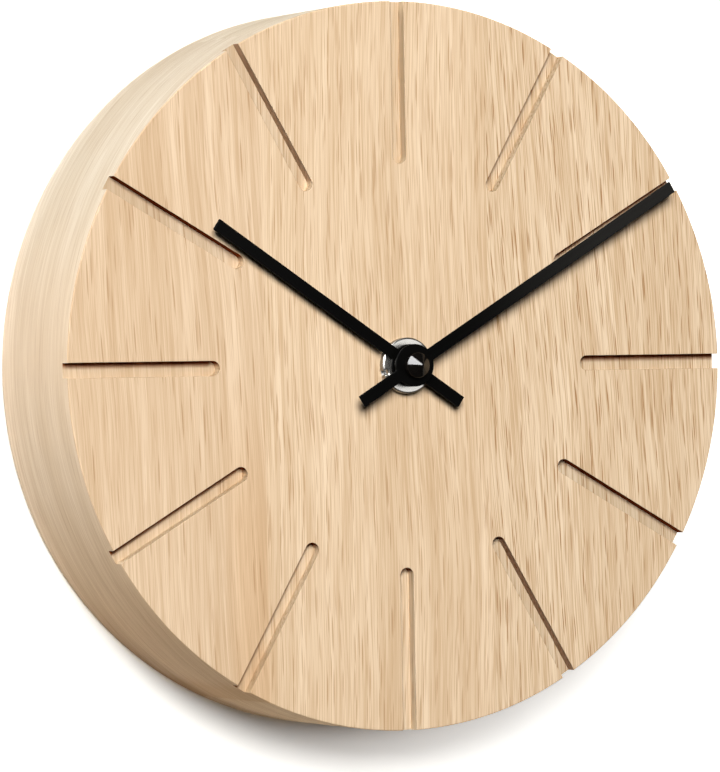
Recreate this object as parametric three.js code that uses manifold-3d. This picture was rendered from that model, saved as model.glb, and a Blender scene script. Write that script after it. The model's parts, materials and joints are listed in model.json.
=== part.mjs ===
// A round solid-oak wall clock: a thick turned disc with twelve milled hour slots, two black hands,
// and a quartz movement with its going train, battery and hanger plate in the back.
// Millimetres. The clock is drawn in its own plane: x right, y up, z towards the viewer, with z = 0
// at the back of the wood. The last lines stand it up, so that +Z is up and the face looks along -Y.
import * as THREE from 'three';
import { mergeVertices } from 'three/addons/utils/BufferGeometryUtils.js';
import Module from 'manifold-3d';

const wasm = await Module();
wasm.setup();

// ---- Driving dimensions ----

const FULL_TURN = 2 * Math.PI;
const degrees = THREE.MathUtils.degToRad;

// Oak body.
const BODY_RADIUS = 90;
const BODY_DEPTH = 41;
const BODY_FACETS = 120;
const DIAL_WEB = 6;
const POCKET_SIZE = 62;
const POCKET_CORNER = 8;
const SHAFT_HOLE_RADIUS = 4.3;

// Hour slots.
const SLOT_COUNT = 12;
const SLOT_WIDTH = 3.66;
const SLOT_INNER_CENTRE = 51.7;
const SLOT_DEPTH = 3;

// Heights above the dial of what stands on it.
const NUT_BACK = 0.55;
const NUT_FRONT = 2.65;
const BUSHING_FRONT = 3.2;
const HOUR_HAND_BACK = 3.5;
const MINUTE_HAND_BACK = 5.7;
const HAND_THICKNESS = 0.6;
const CAP_BACK = 6.4;
const CAP_SHOULDER = 8.2;
const CAP_TIP = 10.9;

// Hands, with their directions clockwise from twelve.
const HAND_BOSS_RADIUS = 5.25;
const HOUR_HAND = { tip: 62.5, tail: 16.7, width: 3, clockwise: 303.9 };
const MINUTE_HAND = { tip: 86, tail: 17, width: 3, clockwise: 59.2 };

// Movement case.
const CASE_SIZE = 56;
const CASE_CORNER = 4;
const CASE_BACK = 18;
const CASE_FRONT = 34;
const CASE_WALL = 1.4;
const CASE_FRONT_WALL = 1.6;
const BAY_BOTTOM = -26.9;
const BAY_TOP = -12.1;
const BAY_FRONT_WALL = 1;
const WORKS_BOTTOM = -10.9;
const WORKS_CORNER = 2.6;
const PIVOT_GAP = 0.2;
const ARBOR_RADIUS = 0.5;

// AA cell.
const CELL_RADIUS = 7.25;
const CELL_HALF_LENGTH = 25.25;
const CELL_BUTTON_RADIUS = 2.75;
const CELL_BUTTON_HEIGHT = 1.25;

// Gears: tooth counts and modules.
const ADDENDUM = 0.75;
const DEDENDUM = 1.15;
const MOTION_MODULE = 0.4;
const HOUR_MODULE = 0.384;
const CENTRE_MODULE = 0.25;
const SECONDS_MODULE = 9 / 34;
const INTERMEDIATE_MODULE = 0.22;
const ROTOR_MODULE = 0.25;
const CANNON_TEETH = 12;
const MINUTE_WHEEL_TEETH = 36;
const MINUTE_PINION_TEETH = 10;
const HOUR_WHEEL_TEETH = 40;
const SETTING_TEETH = 12;
const CENTRE_WHEEL_TEETH = 64;
const SMALL_PINION_TEETH = 8;
const SIXTY_TEETH = 60;
const INTERMEDIATE_PINION_TEETH = 10;
const INTERMEDIATE_WHEEL_TEETH = 40;

// Keyhole hanger plate.
const PLATE_CENTRE_Y = 61;
const PLATE_WIDTH = 16;
const PLATE_HEIGHT = 42;
const PLATE_BACK = 0.3;
const PLATE_THICKNESS = 1.5;
const PLATE_CORNER = 3;
const SCREW_SPACING = 32;
const KEYHOLE_Y = 57;
const KEYHOLE_RADIUS = 4.5;
const KEYHOLE_SLOT_WIDTH = 4.6;
const KEYHOLE_SLOT_TOP = 67;

// Heights, from the back of the wood, of the dial and of the layers of the movement.
const DIAL = BODY_DEPTH;
const POCKET_FLOOR = BODY_DEPTH - DIAL_WEB;
const CASE_INNER_FRONT = CASE_FRONT - CASE_FRONT_WALL;
const COVER = [CASE_BACK + 0.2, CASE_BACK + 1.7];
const REAR_PIVOT = COVER[1] - 0.7;
const FRONT_PIVOT = CASE_INNER_FRONT + 0.8;
const BOARD_LAYER = [20.0, 20.8];
const SECONDS_WHEEL_LAYER = [20.6, 21.4];
const INTERMEDIATE_PINION_LAYER = [20.3, 21.7];
const THIRD_WHEEL_LAYER = [22.4, 23.4];
const INTERMEDIATE_WHEEL_LAYER = [22.4, 23.3];
const SMALL_PINION_LAYER = [22.2, 23.6];
const STATOR_LAYER = [24.1, 25.1];
const MAGNET_LAYER = [23.9, 25.2];
const MIDDLE_PLATE_LAYER = [24.2, 25.0];
const CENTRE_WHEEL_LAYER = [25.4, 26.6];
const THIRD_PINION_LAYER = [25.3, 26.7];
const CANNON_LAYER = [27.3, 28.9];
const MINUTE_WHEEL_LAYER = [27.5, 28.7];
const HOUR_WHEEL_LAYER = [29.6, 30.8];
const MINUTE_PINION_LAYER = [28.6, 31.0];

// ---- Where the arbors stand, worked out from tooth counts and modules ----

const CENTRE = new THREE.Vector2(0, 0);

// The distance between the arbors of two meshed gears.
function meshDistance(teethA, teethB, module) {
  return ((teethA + teethB) * module) / 2;
}

// A point at a distance and an angle from another, counterclockwise from the x axis.
function polarFrom(origin, distance, angle) {
  return new THREE.Vector2(distance * Math.cos(angle), distance * Math.sin(angle)).add(origin);
}

const THIRD_ANGLE = degrees(100);
const INTERMEDIATE_ANGLE = degrees(-20);
const MINUTE_WHEEL_ANGLE = degrees(180);
const SETTING_ANGLE = degrees(135);
const THIRD_ARBOR = polarFrom(
  CENTRE,
  meshDistance(CENTRE_WHEEL_TEETH, SMALL_PINION_TEETH, CENTRE_MODULE),
  THIRD_ANGLE,
);
const INTERMEDIATE_ARBOR = polarFrom(
  CENTRE,
  meshDistance(SIXTY_TEETH, INTERMEDIATE_PINION_TEETH, INTERMEDIATE_MODULE),
  INTERMEDIATE_ANGLE,
);
const ROTOR_ARBOR = polarFrom(
  INTERMEDIATE_ARBOR,
  meshDistance(INTERMEDIATE_WHEEL_TEETH, SMALL_PINION_TEETH, ROTOR_MODULE),
  INTERMEDIATE_ANGLE,
);
const MINUTE_WHEEL_ARBOR = polarFrom(
  CENTRE,
  meshDistance(CANNON_TEETH, MINUTE_WHEEL_TEETH, MOTION_MODULE),
  MINUTE_WHEEL_ANGLE,
);
const SETTING_ARBOR = polarFrom(
  MINUTE_WHEEL_ARBOR,
  meshDistance(MINUTE_WHEEL_TEETH, SETTING_TEETH, MOTION_MODULE),
  SETTING_ANGLE,
);

// ---- Turning three.js geometry into solids and back ----

function solidOf(geometry) {
  const bare = new THREE.BufferGeometry();
  bare.setAttribute('position', geometry.getAttribute('position'));
  bare.setIndex(geometry.getIndex());
  const merged = mergeVertices(bare, 1e-4);
  return new wasm.Manifold(
    new wasm.Mesh({
      numProp: 3,
      vertProperties: merged.getAttribute('position').array,
      triVerts: new Uint32Array(merged.getIndex().array),
    }),
  );
}

function geometryOf(solid) {
  const mesh = solid.getMesh();
  const geometry = new THREE.BufferGeometry();
  geometry.setAttribute('position', new THREE.BufferAttribute(mesh.vertProperties, 3));
  geometry.setIndex(new THREE.BufferAttribute(mesh.triVerts, 1));
  geometry.computeVertexNormals();
  return geometry;
}

function join(...solids) {
  return solids.reduce((all, solid) => all.add(solid));
}

function cut(solid, ...tools) {
  return tools.reduce((rest, tool) => rest.subtract(tool), solid);
}

// ---- Outlines and basic forms ----

function circleOutline(radius, centre = CENTRE, points = 24) {
  const outline = [];
  for (let i = 0; i < points; i += 1) {
    outline.push(polarFrom(centre, radius, (i * FULL_TURN) / points));
  }
  return outline;
}

// A rectangle with round corners, given by its low and high sides.
function roundedRectangle(left, bottom, right, top, corner, pointsPerCorner = 5) {
  const outline = [];
  const corners = [
    [right - corner, top - corner, 0],
    [left + corner, top - corner, 90],
    [left + corner, bottom + corner, 180],
    [right - corner, bottom + corner, 270],
  ];
  for (const [x, y, start] of corners) {
    for (let i = 0; i < pointsPerCorner; i += 1) {
      const angle = degrees(start + (90 * i) / (pointsPerCorner - 1));
      outline.push(polarFrom(new THREE.Vector2(x, y), corner, angle));
    }
  }
  return outline;
}

// A slot of constant width with a round lower end; the upper end is round or square.
function uprightSlot(width, bottom, top, roundTop) {
  const radius = width / 2;
  const pointsPerEnd = 9;
  const outline = [];
  for (let i = 0; i < pointsPerEnd; i += 1) {
    const angle = Math.PI + (Math.PI * i) / (pointsPerEnd - 1);
    outline.push(polarFrom(new THREE.Vector2(0, bottom), radius, angle));
  }
  if (roundTop) {
    for (let i = 0; i < pointsPerEnd; i += 1) {
      const angle = (Math.PI * i) / (pointsPerEnd - 1);
      outline.push(polarFrom(new THREE.Vector2(0, top), radius, angle));
    }
  } else {
    outline.push(new THREE.Vector2(radius, top));
    outline.push(new THREE.Vector2(-radius, top));
  }
  return outline;
}

// A strip of sheet of even thickness that follows a path in the plane.
function ribbonOutline(path, thickness) {
  const points = path.map(([x, y]) => new THREE.Vector2(x, y));
  const last = points.length - 1;
  const sideDirection = (from, to) => {
    const along = to.clone().sub(from).normalize();
    return new THREE.Vector2(-along.y, along.x);
  };
  const offsets = points.map((point, i) => {
    const before = sideDirection(points[Math.max(i - 1, 0)], points[Math.max(i, 1)]);
    const after = sideDirection(points[Math.min(i, last - 1)], points[Math.min(i + 1, last)]);
    const middle = before.clone().add(after).normalize();
    return middle.multiplyScalar(thickness / 2 / middle.dot(after));
  });
  const leftSide = points.map((point, i) => point.clone().add(offsets[i]));
  const rightSide = points.map((point, i) => point.clone().sub(offsets[i]));
  return [...rightSide, ...leftSide.reverse()];
}

// An outline, less holes, raised between two heights.
function plate(outline, [low, high], holes = []) {
  const shape = new THREE.Shape(outline);
  shape.holes = holes.map((hole) => new THREE.Path(hole));
  const geometry = new THREE.ExtrudeGeometry(shape, { depth: high - low, bevelEnabled: false });
  return solidOf(geometry.translate(0, 0, low));
}

function disc(radius, heights, centre = CENTRE, points = 24) {
  return plate(circleOutline(radius, centre, points), heights);
}

function box(left, bottom, right, top, heights) {
  const corners = [[left, bottom], [right, bottom], [right, top], [left, top]];
  return plate(corners.map(([x, y]) => new THREE.Vector2(x, y)), heights);
}

// A turned form about the z direction. The profile lists [radius, height] pairs.
function turned(profile, centre = CENTRE, facets = 24) {
  const points = profile.map(([radius, height]) => new THREE.Vector2(radius, height));
  const geometry = new THREE.LatheGeometry(points, facets);
  geometry.rotateX(Math.PI / 2);
  return solidOf(geometry.translate(centre.x, centre.y, 0));
}

// ---- Gears ----

// A tooth narrows in straight flanks from its root to its tip. Half thicknesses are in modules.
function toothForm(teeth) {
  const isPinion = teeth <= 12;
  return isPinion ? { rootHalf: 0.62, tipHalf: 0.26 } : { rootHalf: 0.95, tipHalf: 0.3 };
}

function gearOutline(teeth, module, centre, phase) {
  const { rootHalf, tipHalf } = toothForm(teeth);
  const pitchRadius = (teeth * module) / 2;
  const rootRadius = pitchRadius - DEDENDUM * module;
  const tipRadius = pitchRadius + ADDENDUM * module;
  const rootAngle = (rootHalf * module) / rootRadius;
  const tipAngle = (tipHalf * module) / tipRadius;
  const outline = [];
  for (let i = 0; i < teeth; i += 1) {
    const middle = phase + (i * FULL_TURN) / teeth;
    outline.push(polarFrom(centre, rootRadius, middle - rootAngle));
    outline.push(polarFrom(centre, tipRadius, middle - tipAngle));
    outline.push(polarFrom(centre, tipRadius, middle + tipAngle));
    outline.push(polarFrom(centre, rootRadius, middle + rootAngle));
  }
  return outline;
}

// The angle of a tooth of gear B when it is in mesh with gear A, seen along the line from A to B.
function meshedPhase(teethA, phaseA, teethB, direction) {
  const pitchA = FULL_TURN / teethA;
  const pitchB = FULL_TURN / teethB;
  const toothFraction = (direction - phaseA) / pitchA;
  return direction + Math.PI + (toothFraction + 0.5) * pitchB;
}

const MINUTE_WHEEL_PHASE = meshedPhase(CANNON_TEETH, 0, MINUTE_WHEEL_TEETH, MINUTE_WHEEL_ANGLE);
const SETTING_PHASE = meshedPhase(
  MINUTE_WHEEL_TEETH,
  MINUTE_WHEEL_PHASE,
  SETTING_TEETH,
  SETTING_ANGLE,
);
const HOUR_WHEEL_PHASE = meshedPhase(
  MINUTE_PINION_TEETH,
  0,
  HOUR_WHEEL_TEETH,
  MINUTE_WHEEL_ANGLE + Math.PI,
);
const THIRD_PINION_PHASE = meshedPhase(CENTRE_WHEEL_TEETH, 0, SMALL_PINION_TEETH, THIRD_ANGLE);
const SECONDS_PINION_PHASE = meshedPhase(SIXTY_TEETH, 0, SMALL_PINION_TEETH, THIRD_ANGLE + Math.PI);
const INTERMEDIATE_PINION_PHASE = meshedPhase(
  SIXTY_TEETH,
  0,
  INTERMEDIATE_PINION_TEETH,
  INTERMEDIATE_ANGLE,
);
const ROTOR_PINION_PHASE = meshedPhase(
  INTERMEDIATE_WHEEL_TEETH,
  0,
  SMALL_PINION_TEETH,
  INTERMEDIATE_ANGLE,
);

function gear(teeth, module, centre, phase, heights, bore = null) {
  const holes = bore ? [circleOutline(bore, centre)] : [];
  return plate(gearOutline(teeth, module, centre, phase), heights, holes);
}

// A solid arbor with small conical ends.
function arbor(centre, low, high, radius = ARBOR_RADIUS) {
  const chamfer = radius * 0.4;
  return turned(
    [
      [0, low],
      [radius - chamfer, low],
      [radius, low + chamfer],
      [radius, high - chamfer],
      [radius - chamfer, high],
      [0, high],
    ],
    centre,
    12,
  );
}

// The hole an arbor turns in.
function pivotHole(centre, heights, radius = ARBOR_RADIUS) {
  return disc(radius + PIVOT_GAP, heights, centre, 16);
}

// ---- Materials ----

function finish(color, roughness, metalness = 0) {
  return new THREE.MeshStandardMaterial({ color, roughness, metalness });
}

const OAK = finish(0xd9b78c, 0.62);
const HAND_BLACK = finish(0x16140f, 0.5);
const CAP_BLACK = finish(0x0c0a09, 0.18);
const CHROME = finish(0xc9cbc8, 0.2, 1);
const BRASS = finish(0xb99a55, 0.35, 1);
const STEEL = finish(0x9c9fa2, 0.35, 1);
const RUBBER = finish(0x1b1b1b, 0.85);
const CASE_PLASTIC = finish(0x1d1e20, 0.5);
const GEAR_PLASTIC = finish(0xe8e4d8, 0.45);
const MAGNET = finish(0x4a4a4c, 0.5, 0.6);
const COPPER = finish(0xa85c32, 0.35, 1);
const BOBBIN_PLASTIC = finish(0xd8d2c0, 0.5);
const BOARD_GREEN = finish(0x2c5a3a, 0.5);
const EPOXY = finish(0x111111, 0.3);
const CELL_SLEEVE = finish(0x2f3b4a, 0.35);

// ---- Oak body ----

function makeOakBody() {
  const blank = disc(BODY_RADIUS, [0, BODY_DEPTH], CENTRE, BODY_FACETS);
  const half = POCKET_SIZE / 2;
  const pocketOutline = roundedRectangle(-half, -half, half, half, POCKET_CORNER, 7);
  const pocket = plate(pocketOutline, [-1, POCKET_FLOOR]);
  const shaftHole = disc(SHAFT_HOLE_RADIUS, [POCKET_FLOOR - 1, DIAL + 1]);
  return cut(blank, pocket, shaftHole, ...hourSlotCutters(), ...hangerRecessCutters());
}

function hourSlotCutters() {
  const cutters = [];
  const pastTheRim = BODY_RADIUS + 5;
  for (let hour = 0; hour < SLOT_COUNT; hour += 1) {
    const outline = uprightSlot(SLOT_WIDTH, SLOT_INNER_CENTRE, pastTheRim, false);
    const cutter = plate(outline, [DIAL - SLOT_DEPTH, DIAL + 1]);
    cutters.push(cutter.rotate([0, 0, (hour * 360) / SLOT_COUNT]));
  }
  return cutters;
}

// The plate's own recess, the deeper slot for the nail's head, and the two pilot holes.
function hangerRecessCutters() {
  const clearance = 0.4;
  const halfWidth = PLATE_WIDTH / 2 + clearance;
  const halfHeight = PLATE_HEIGHT / 2 + clearance;
  const nailSlotWidth = 12;
  const nailSlotDepth = 9;
  const recessDepth = PLATE_BACK + PLATE_THICKNESS + 0.2;
  const pilotDepth = 15;
  const pilotRadius = 1.5;
  const recess = roundedRectangle(
    -halfWidth,
    PLATE_CENTRE_Y - halfHeight,
    halfWidth,
    PLATE_CENTRE_Y + halfHeight,
    PLATE_CORNER,
  );
  const pilots = screwHeights().map((y) =>
    disc(pilotRadius, [1, pilotDepth], new THREE.Vector2(0, y), 16),
  );
  return [
    plate(recess, [-1, recessDepth]),
    plate(uprightSlot(nailSlotWidth, KEYHOLE_Y, KEYHOLE_SLOT_TOP, true), [-1, nailSlotDepth]),
    ...pilots,
  ];
}

function screwHeights() {
  return [PLATE_CENTRE_Y + SCREW_SPACING / 2, PLATE_CENTRE_Y - SCREW_SPACING / 2];
}

// ---- Hanger plate and its screws ----

function countersunkProfile(headRadius, shankRadius, back, depth) {
  return [
    [0, back],
    [headRadius, back],
    [shankRadius, back + headRadius - shankRadius],
    [shankRadius, depth],
    [0, depth],
  ];
}

function makeKeyholePlate() {
  const heights = [PLATE_BACK, PLATE_BACK + PLATE_THICKNESS];
  const through = [heights[0] - 1, heights[1] + 1];
  const outline = roundedRectangle(
    -PLATE_WIDTH / 2,
    PLATE_CENTRE_Y - PLATE_HEIGHT / 2,
    PLATE_WIDTH / 2,
    PLATE_CENTRE_Y + PLATE_HEIGHT / 2,
    PLATE_CORNER,
  );
  const entry = disc(KEYHOLE_RADIUS, through, new THREE.Vector2(0, KEYHOLE_Y), 32);
  const slot = plate(uprightSlot(KEYHOLE_SLOT_WIDTH, KEYHOLE_Y, KEYHOLE_SLOT_TOP, true), through);
  const sinkRadius = 3.4;
  const holeRadius = 1.8;
  const sink = countersunkProfile(sinkRadius, holeRadius, heights[0] - 0.1, through[1]);
  const screwHoles = screwHeights().map((y) => turned(sink, new THREE.Vector2(0, y)));
  return cut(plate(outline, heights), entry, slot, ...screwHoles);
}

function makeHangerScrew(y) {
  const centre = new THREE.Vector2(0, y);
  const back = PLATE_BACK + 0.05;
  const headRadius = 2.9;
  const shankRadius = 1.25;
  const tip = 14;
  const pointLength = 2;
  const profile = countersunkProfile(headRadius, shankRadius, back, tip - pointLength);
  profile.splice(-1, 1, [0, tip]);
  const recessSpan = 1.7;
  const recessWidth = 0.3;
  const recessDepth = 0.9;
  const recess = [back - 1, back + recessDepth];
  return cut(
    turned(profile, centre),
    box(-recessSpan, y - recessWidth, recessSpan, y + recessWidth, recess),
    box(-recessWidth, y - recessSpan, recessWidth, y + recessSpan, recess),
  );
}

// ---- What fastens the movement to the dial ----

function makeHandNut() {
  const radius = 6.9;
  const bore = 4.2;
  const bevel = 0.5;
  const back = DIAL + NUT_BACK;
  const front = DIAL + NUT_FRONT;
  const slotCount = 2;
  const slotWidth = 1.1;
  const slotDepth = 1.1;
  const slotTurn = 15;
  const ring = turned(
    [
      [bore, back],
      [radius, back],
      [radius, front - bevel],
      [radius - bevel, front],
      [bore, front],
      [bore, back],
    ],
    CENTRE,
    48,
  );
  const slots = [];
  for (let i = 0; i < slotCount; i += 1) {
    const slot = box(
      radius - slotDepth,
      -slotWidth / 2,
      radius + 1,
      slotWidth / 2,
      [back - 1, front + 1],
    );
    slots.push(slot.rotate([0, 0, slotTurn + (i * 360) / slotCount]));
  }
  return cut(ring, ...slots);
}

// A flat ring about the hands' axis.
function ringPlate(outer, inner, heights, points = 32) {
  const bore = circleOutline(inner, CENTRE, points);
  return plate(circleOutline(outer, CENTRE, points), heights, [bore]);
}

function makeThreadedBushing() {
  const outer = 3.95;
  const inner = 2.8;
  const flange = 6.5;
  const flangeBack = 31.2;
  const flangeFront = 32.2;
  const front = DIAL + BUSHING_FRONT;
  const chamfer = 0.4;
  return turned(
    [
      [inner, flangeBack],
      [flange, flangeBack],
      [flange, flangeFront],
      [outer, flangeFront],
      [outer, front - chamfer],
      [outer - chamfer, front],
      [inner, front],
      [inner, flangeBack],
    ],
    CENTRE,
    32,
  );
}

// ---- Hands ----

function makeHand({ tip, tail, width, clockwise }, back, bore) {
  const heights = [back, back + HAND_THICKNESS];
  const bar = box(-width / 2, -tail, width / 2, tip, heights);
  const boss = disc(HAND_BOSS_RADIUS, heights, CENTRE, 48);
  const hole = disc(bore, [back - 1, back + HAND_THICKNESS + 1], CENTRE, 32);
  return cut(join(bar, boss), hole).rotate([0, 0, -clockwise]);
}

function makeCapNut() {
  const radius = 3.1;
  const bore = 1.6;
  const boreDepth = 2.3;
  const chamfer = 0.3;
  const tipRadius = 0.12;
  const tipHeight = 0.05;
  const back = DIAL + CAP_BACK;
  return turned(
    [
      [0, back + boreDepth],
      [bore, back + boreDepth],
      [bore, back],
      [radius - chamfer, back],
      [radius, back + chamfer],
      [radius, DIAL + CAP_SHOULDER],
      [tipRadius, DIAL + CAP_TIP - tipHeight],
      [0, DIAL + CAP_TIP],
    ],
    CENTRE,
    40,
  );
}

// ---- Movement case ----

function makeMovementCase() {
  const half = CASE_SIZE / 2;
  const inner = half - CASE_WALL;
  const behind = CASE_BACK - 1;
  const bayFront = CASE_FRONT - BAY_FRONT_WALL;
  const outline = roundedRectangle(-half, -half, half, half, CASE_CORNER);
  const worksOutline = roundedRectangle(-inner, WORKS_BOTTOM, inner, inner, WORKS_CORNER);
  const outside = plate(outline, [CASE_BACK, CASE_FRONT]);
  const works = plate(worksOutline, [behind, CASE_INNER_FRONT]);
  const bay = box(-inner, BAY_BOTTOM, inner, BAY_TOP, [behind, bayFront]);
  const bushingHole = disc(4.25, [CASE_INNER_FRONT - 1, CASE_FRONT + 1], CENTRE, 32);
  const hollow = cut(outside, works, bay, bushingHole);
  return cut(join(hollow, ...casePosts()), ...caseFrontPivots(), ...contactNotches(inner));
}

// Four posts carry the middle plate, and a fifth carries the front pivot of the rotor.
function casePosts() {
  const plateSeat = MIDDLE_PLATE_LAYER[1] + 0.2;
  const rotorPostBack = 27;
  const platePosts = [[-23, 23], [-23, -8], [5.5, -9], [5.5, 23]].map(([x, y]) =>
    postTo(new THREE.Vector2(x, y), 1.8, plateSeat),
  );
  return [...platePosts, postTo(ROTOR_ARBOR, 1.6, rotorPostBack)];
}

function caseFrontPivots() {
  const wideGap = 0.8;
  const wide = [THIRD_ARBOR, MINUTE_WHEEL_ARBOR, SETTING_ARBOR].map((centre) =>
    pivotHole(centre, [CASE_INNER_FRONT - 1, FRONT_PIVOT + 0.1], wideGap),
  );
  return [...wide, pivotHole(ROTOR_ARBOR, [26, 28.2])];
}

// The battery contacts pass from the bay to the works through notches beside the side walls.
function contactNotches(inner) {
  const width = 0.8;
  return [-inner, inner - width].map((left) =>
    box(left, BAY_TOP - 0.5, left + width, WORKS_BOTTOM + 3, [20.2, 29.4]),
  );
}

// A post that stands on the inside of the case's front wall and reaches back to a height.
function postTo(centre, radius, back) {
  return disc(radius, [back, CASE_INNER_FRONT + 0.2], centre, 16);
}

function makeRearCover() {
  const half = CASE_SIZE / 2 - CASE_WALL;
  const gap = 0.25;
  const corner = WORKS_CORNER - 0.2;
  const outline = roundedRectangle(
    -half + gap,
    WORKS_BOTTOM + gap,
    half - gap,
    half - gap,
    corner,
  );
  const blindPivots = [THIRD_ARBOR, CENTRE, INTERMEDIATE_ARBOR, ROTOR_ARBOR].map((centre) =>
    pivotHole(centre, [REAR_PIVOT - 0.2, COVER[1] + 1]),
  );
  const settingHole = pivotHole(SETTING_ARBOR, [COVER[0] - 1, COVER[1] + 1], 1);
  return cut(plate(outline, COVER), settingHole, ...blindPivots);
}

function makeMiddlePlate() {
  const through = [MIDDLE_PLATE_LAYER[0] - 1, MIDDLE_PLATE_LAYER[1] + 1];
  const outline = roundedRectangle(-26, -10.5, 8.2, 26.2, 2.5);
  const minuteArborHole = 1.95;
  const thirdPinionHole = 1.85;
  const holes = [
    disc(minuteArborHole, through),
    disc(thirdPinionHole, through, THIRD_ARBOR),
    pivotHole(INTERMEDIATE_ARBOR, through, 0.4),
    pivotHole(MINUTE_WHEEL_ARBOR, through, 0.6),
    pivotHole(SETTING_ARBOR, through, 0.8),
  ];
  return cut(plate(outline, MIDDLE_PLATE_LAYER), ...holes);
}

// ---- Going train and motion work ----

function makeMinuteArbor() {
  const rear = 23.9;
  const boreEnd = 31;
  const bore = 0.8;
  const radius = 1.7;
  const threadRadius = 1.4;
  const threadStart = DIAL + MINUTE_HAND_BACK - 0.1;
  const front = DIAL + 8;
  const stem = turned([
    [0, boreEnd],
    [bore, boreEnd],
    [bore, rear],
    [radius, rear],
    [radius, threadStart],
    [threadRadius, threadStart],
    [threadRadius, front - 0.3],
    [threadRadius - 0.3, front],
    [0, front],
  ]);
  return join(stem, gear(CANNON_TEETH, MOTION_MODULE, CENTRE, 0, CANNON_LAYER, 1.5));
}

// A pinion and a wheel moulded on one arbor.
function wheelAndPinion(centre, low, high, wheel, pinion, arborRadius = ARBOR_RADIUS) {
  return join(
    arbor(centre, low, high, arborRadius),
    gear(wheel.teeth, wheel.module, centre, wheel.phase, wheel.heights),
    gear(pinion.teeth, pinion.module, centre, pinion.phase, pinion.heights),
    disc(pinion.module * 3.2, spanOf(wheel.heights, pinion.heights), centre, 12),
  );
}

// The stretch from the middle of one layer to the middle of another.
function spanOf(layerA, layerB) {
  const middles = [layerA, layerB].map(([low, high]) => (low + high) / 2);
  return [Math.min(...middles), Math.max(...middles)];
}

function makeHourWheel() {
  const pipeInner = 1.95;
  const pipeOuter = 2.5;
  const pipeFront = DIAL + HOUR_HAND_BACK + 0.8;
  const pipe = ringPlate(pipeOuter, pipeInner, [HOUR_WHEEL_LAYER[0], pipeFront], 24);
  const toothed = gear(
    HOUR_WHEEL_TEETH,
    HOUR_MODULE,
    CENTRE,
    HOUR_WHEEL_PHASE,
    HOUR_WHEEL_LAYER,
    pipeInner + 0.2,
  );
  return join(pipe, toothed);
}

function makeThirdWheel() {
  return wheelAndPinion(
    THIRD_ARBOR,
    REAR_PIVOT,
    FRONT_PIVOT,
    { teeth: SIXTY_TEETH, module: SECONDS_MODULE, phase: 0, heights: THIRD_WHEEL_LAYER },
    {
      teeth: SMALL_PINION_TEETH,
      module: CENTRE_MODULE,
      phase: THIRD_PINION_PHASE,
      heights: THIRD_PINION_LAYER,
    },
  );
}

function makeSecondsWheel() {
  return wheelAndPinion(
    CENTRE,
    REAR_PIVOT,
    28.5,
    { teeth: SIXTY_TEETH, module: INTERMEDIATE_MODULE, phase: 0, heights: SECONDS_WHEEL_LAYER },
    {
      teeth: SMALL_PINION_TEETH,
      module: SECONDS_MODULE,
      phase: SECONDS_PINION_PHASE,
      heights: SMALL_PINION_LAYER,
    },
  );
}

function makeIntermediateWheel() {
  return wheelAndPinion(
    INTERMEDIATE_ARBOR,
    REAR_PIVOT,
    MIDDLE_PLATE_LAYER[1] - 0.1,
    {
      teeth: INTERMEDIATE_WHEEL_TEETH,
      module: ROTOR_MODULE,
      phase: 0,
      heights: INTERMEDIATE_WHEEL_LAYER,
    },
    {
      teeth: INTERMEDIATE_PINION_TEETH,
      module: INTERMEDIATE_MODULE,
      phase: INTERMEDIATE_PINION_PHASE,
      heights: INTERMEDIATE_PINION_LAYER,
    },
    0.4,
  );
}

function makeMinuteWheel() {
  return wheelAndPinion(
    MINUTE_WHEEL_ARBOR,
    MIDDLE_PLATE_LAYER[0] + 0.1,
    FRONT_PIVOT,
    {
      teeth: MINUTE_WHEEL_TEETH,
      module: MOTION_MODULE,
      phase: MINUTE_WHEEL_PHASE,
      heights: MINUTE_WHEEL_LAYER,
    },
    {
      teeth: MINUTE_PINION_TEETH,
      module: HOUR_MODULE,
      phase: 0,
      heights: MINUTE_PINION_LAYER,
    },
    0.6,
  );
}

function makeRotorPinion() {
  const pinion = gear(
    SMALL_PINION_TEETH,
    ROTOR_MODULE,
    ROTOR_ARBOR,
    ROTOR_PINION_PHASE,
    SMALL_PINION_LAYER,
  );
  return join(arbor(ROTOR_ARBOR, REAR_PIVOT, 28), pinion);
}

function makeRotorMagnet() {
  const radius = 2.6;
  const bore = 0.65;
  return plate(circleOutline(radius, ROTOR_ARBOR), MAGNET_LAYER, [circleOutline(bore, ROTOR_ARBOR)]);
}

function makeClutchSpring() {
  const [low, high] = [CENTRE_WHEEL_LAYER[1] + 0.1, CANNON_LAYER[0] - 0.1];
  const sheet = 0.25;
  const inner = 1.85;
  const outer = 3.4;
  return turned([
    [inner, high - sheet],
    [outer, low],
    [outer, low + sheet],
    [inner, high],
    [inner, high - sheet],
  ]);
}

function makeSettingPinion() {
  const pinion = gear(
    SETTING_TEETH,
    MOTION_MODULE,
    SETTING_ARBOR,
    SETTING_PHASE,
    MINUTE_WHEEL_LAYER,
  );
  return join(arbor(SETTING_ARBOR, 15.6, FRONT_PIVOT, 0.8), pinion);
}

function makeSettingKnob() {
  const teeth = 24;
  const radius = 6.5;
  const flute = 0.45;
  const heights = [14.6, 17.4];
  const outline = [];
  for (let i = 0; i < teeth; i += 1) {
    const angle = (i * FULL_TURN) / teeth;
    const step = FULL_TURN / teeth;
    outline.push(polarFrom(SETTING_ARBOR, radius - flute, angle));
    outline.push(polarFrom(SETTING_ARBOR, radius, angle + step * 0.3));
    outline.push(polarFrom(SETTING_ARBOR, radius, angle + step * 0.7));
  }
  const socket = disc(1.0, [heights[0] + 0.9, heights[1] + 1], SETTING_ARBOR, 16);
  return cut(plate(outline, heights), socket);
}

// ---- Stepping motor and electronics ----

const STATOR = { left: 10.3, right: 25.5, bottom: -9.4, top: 17 };
const COIL = { y: 15.5, z: 25.7, left: 13.6, right: 22.2, flange: 1 };

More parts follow.
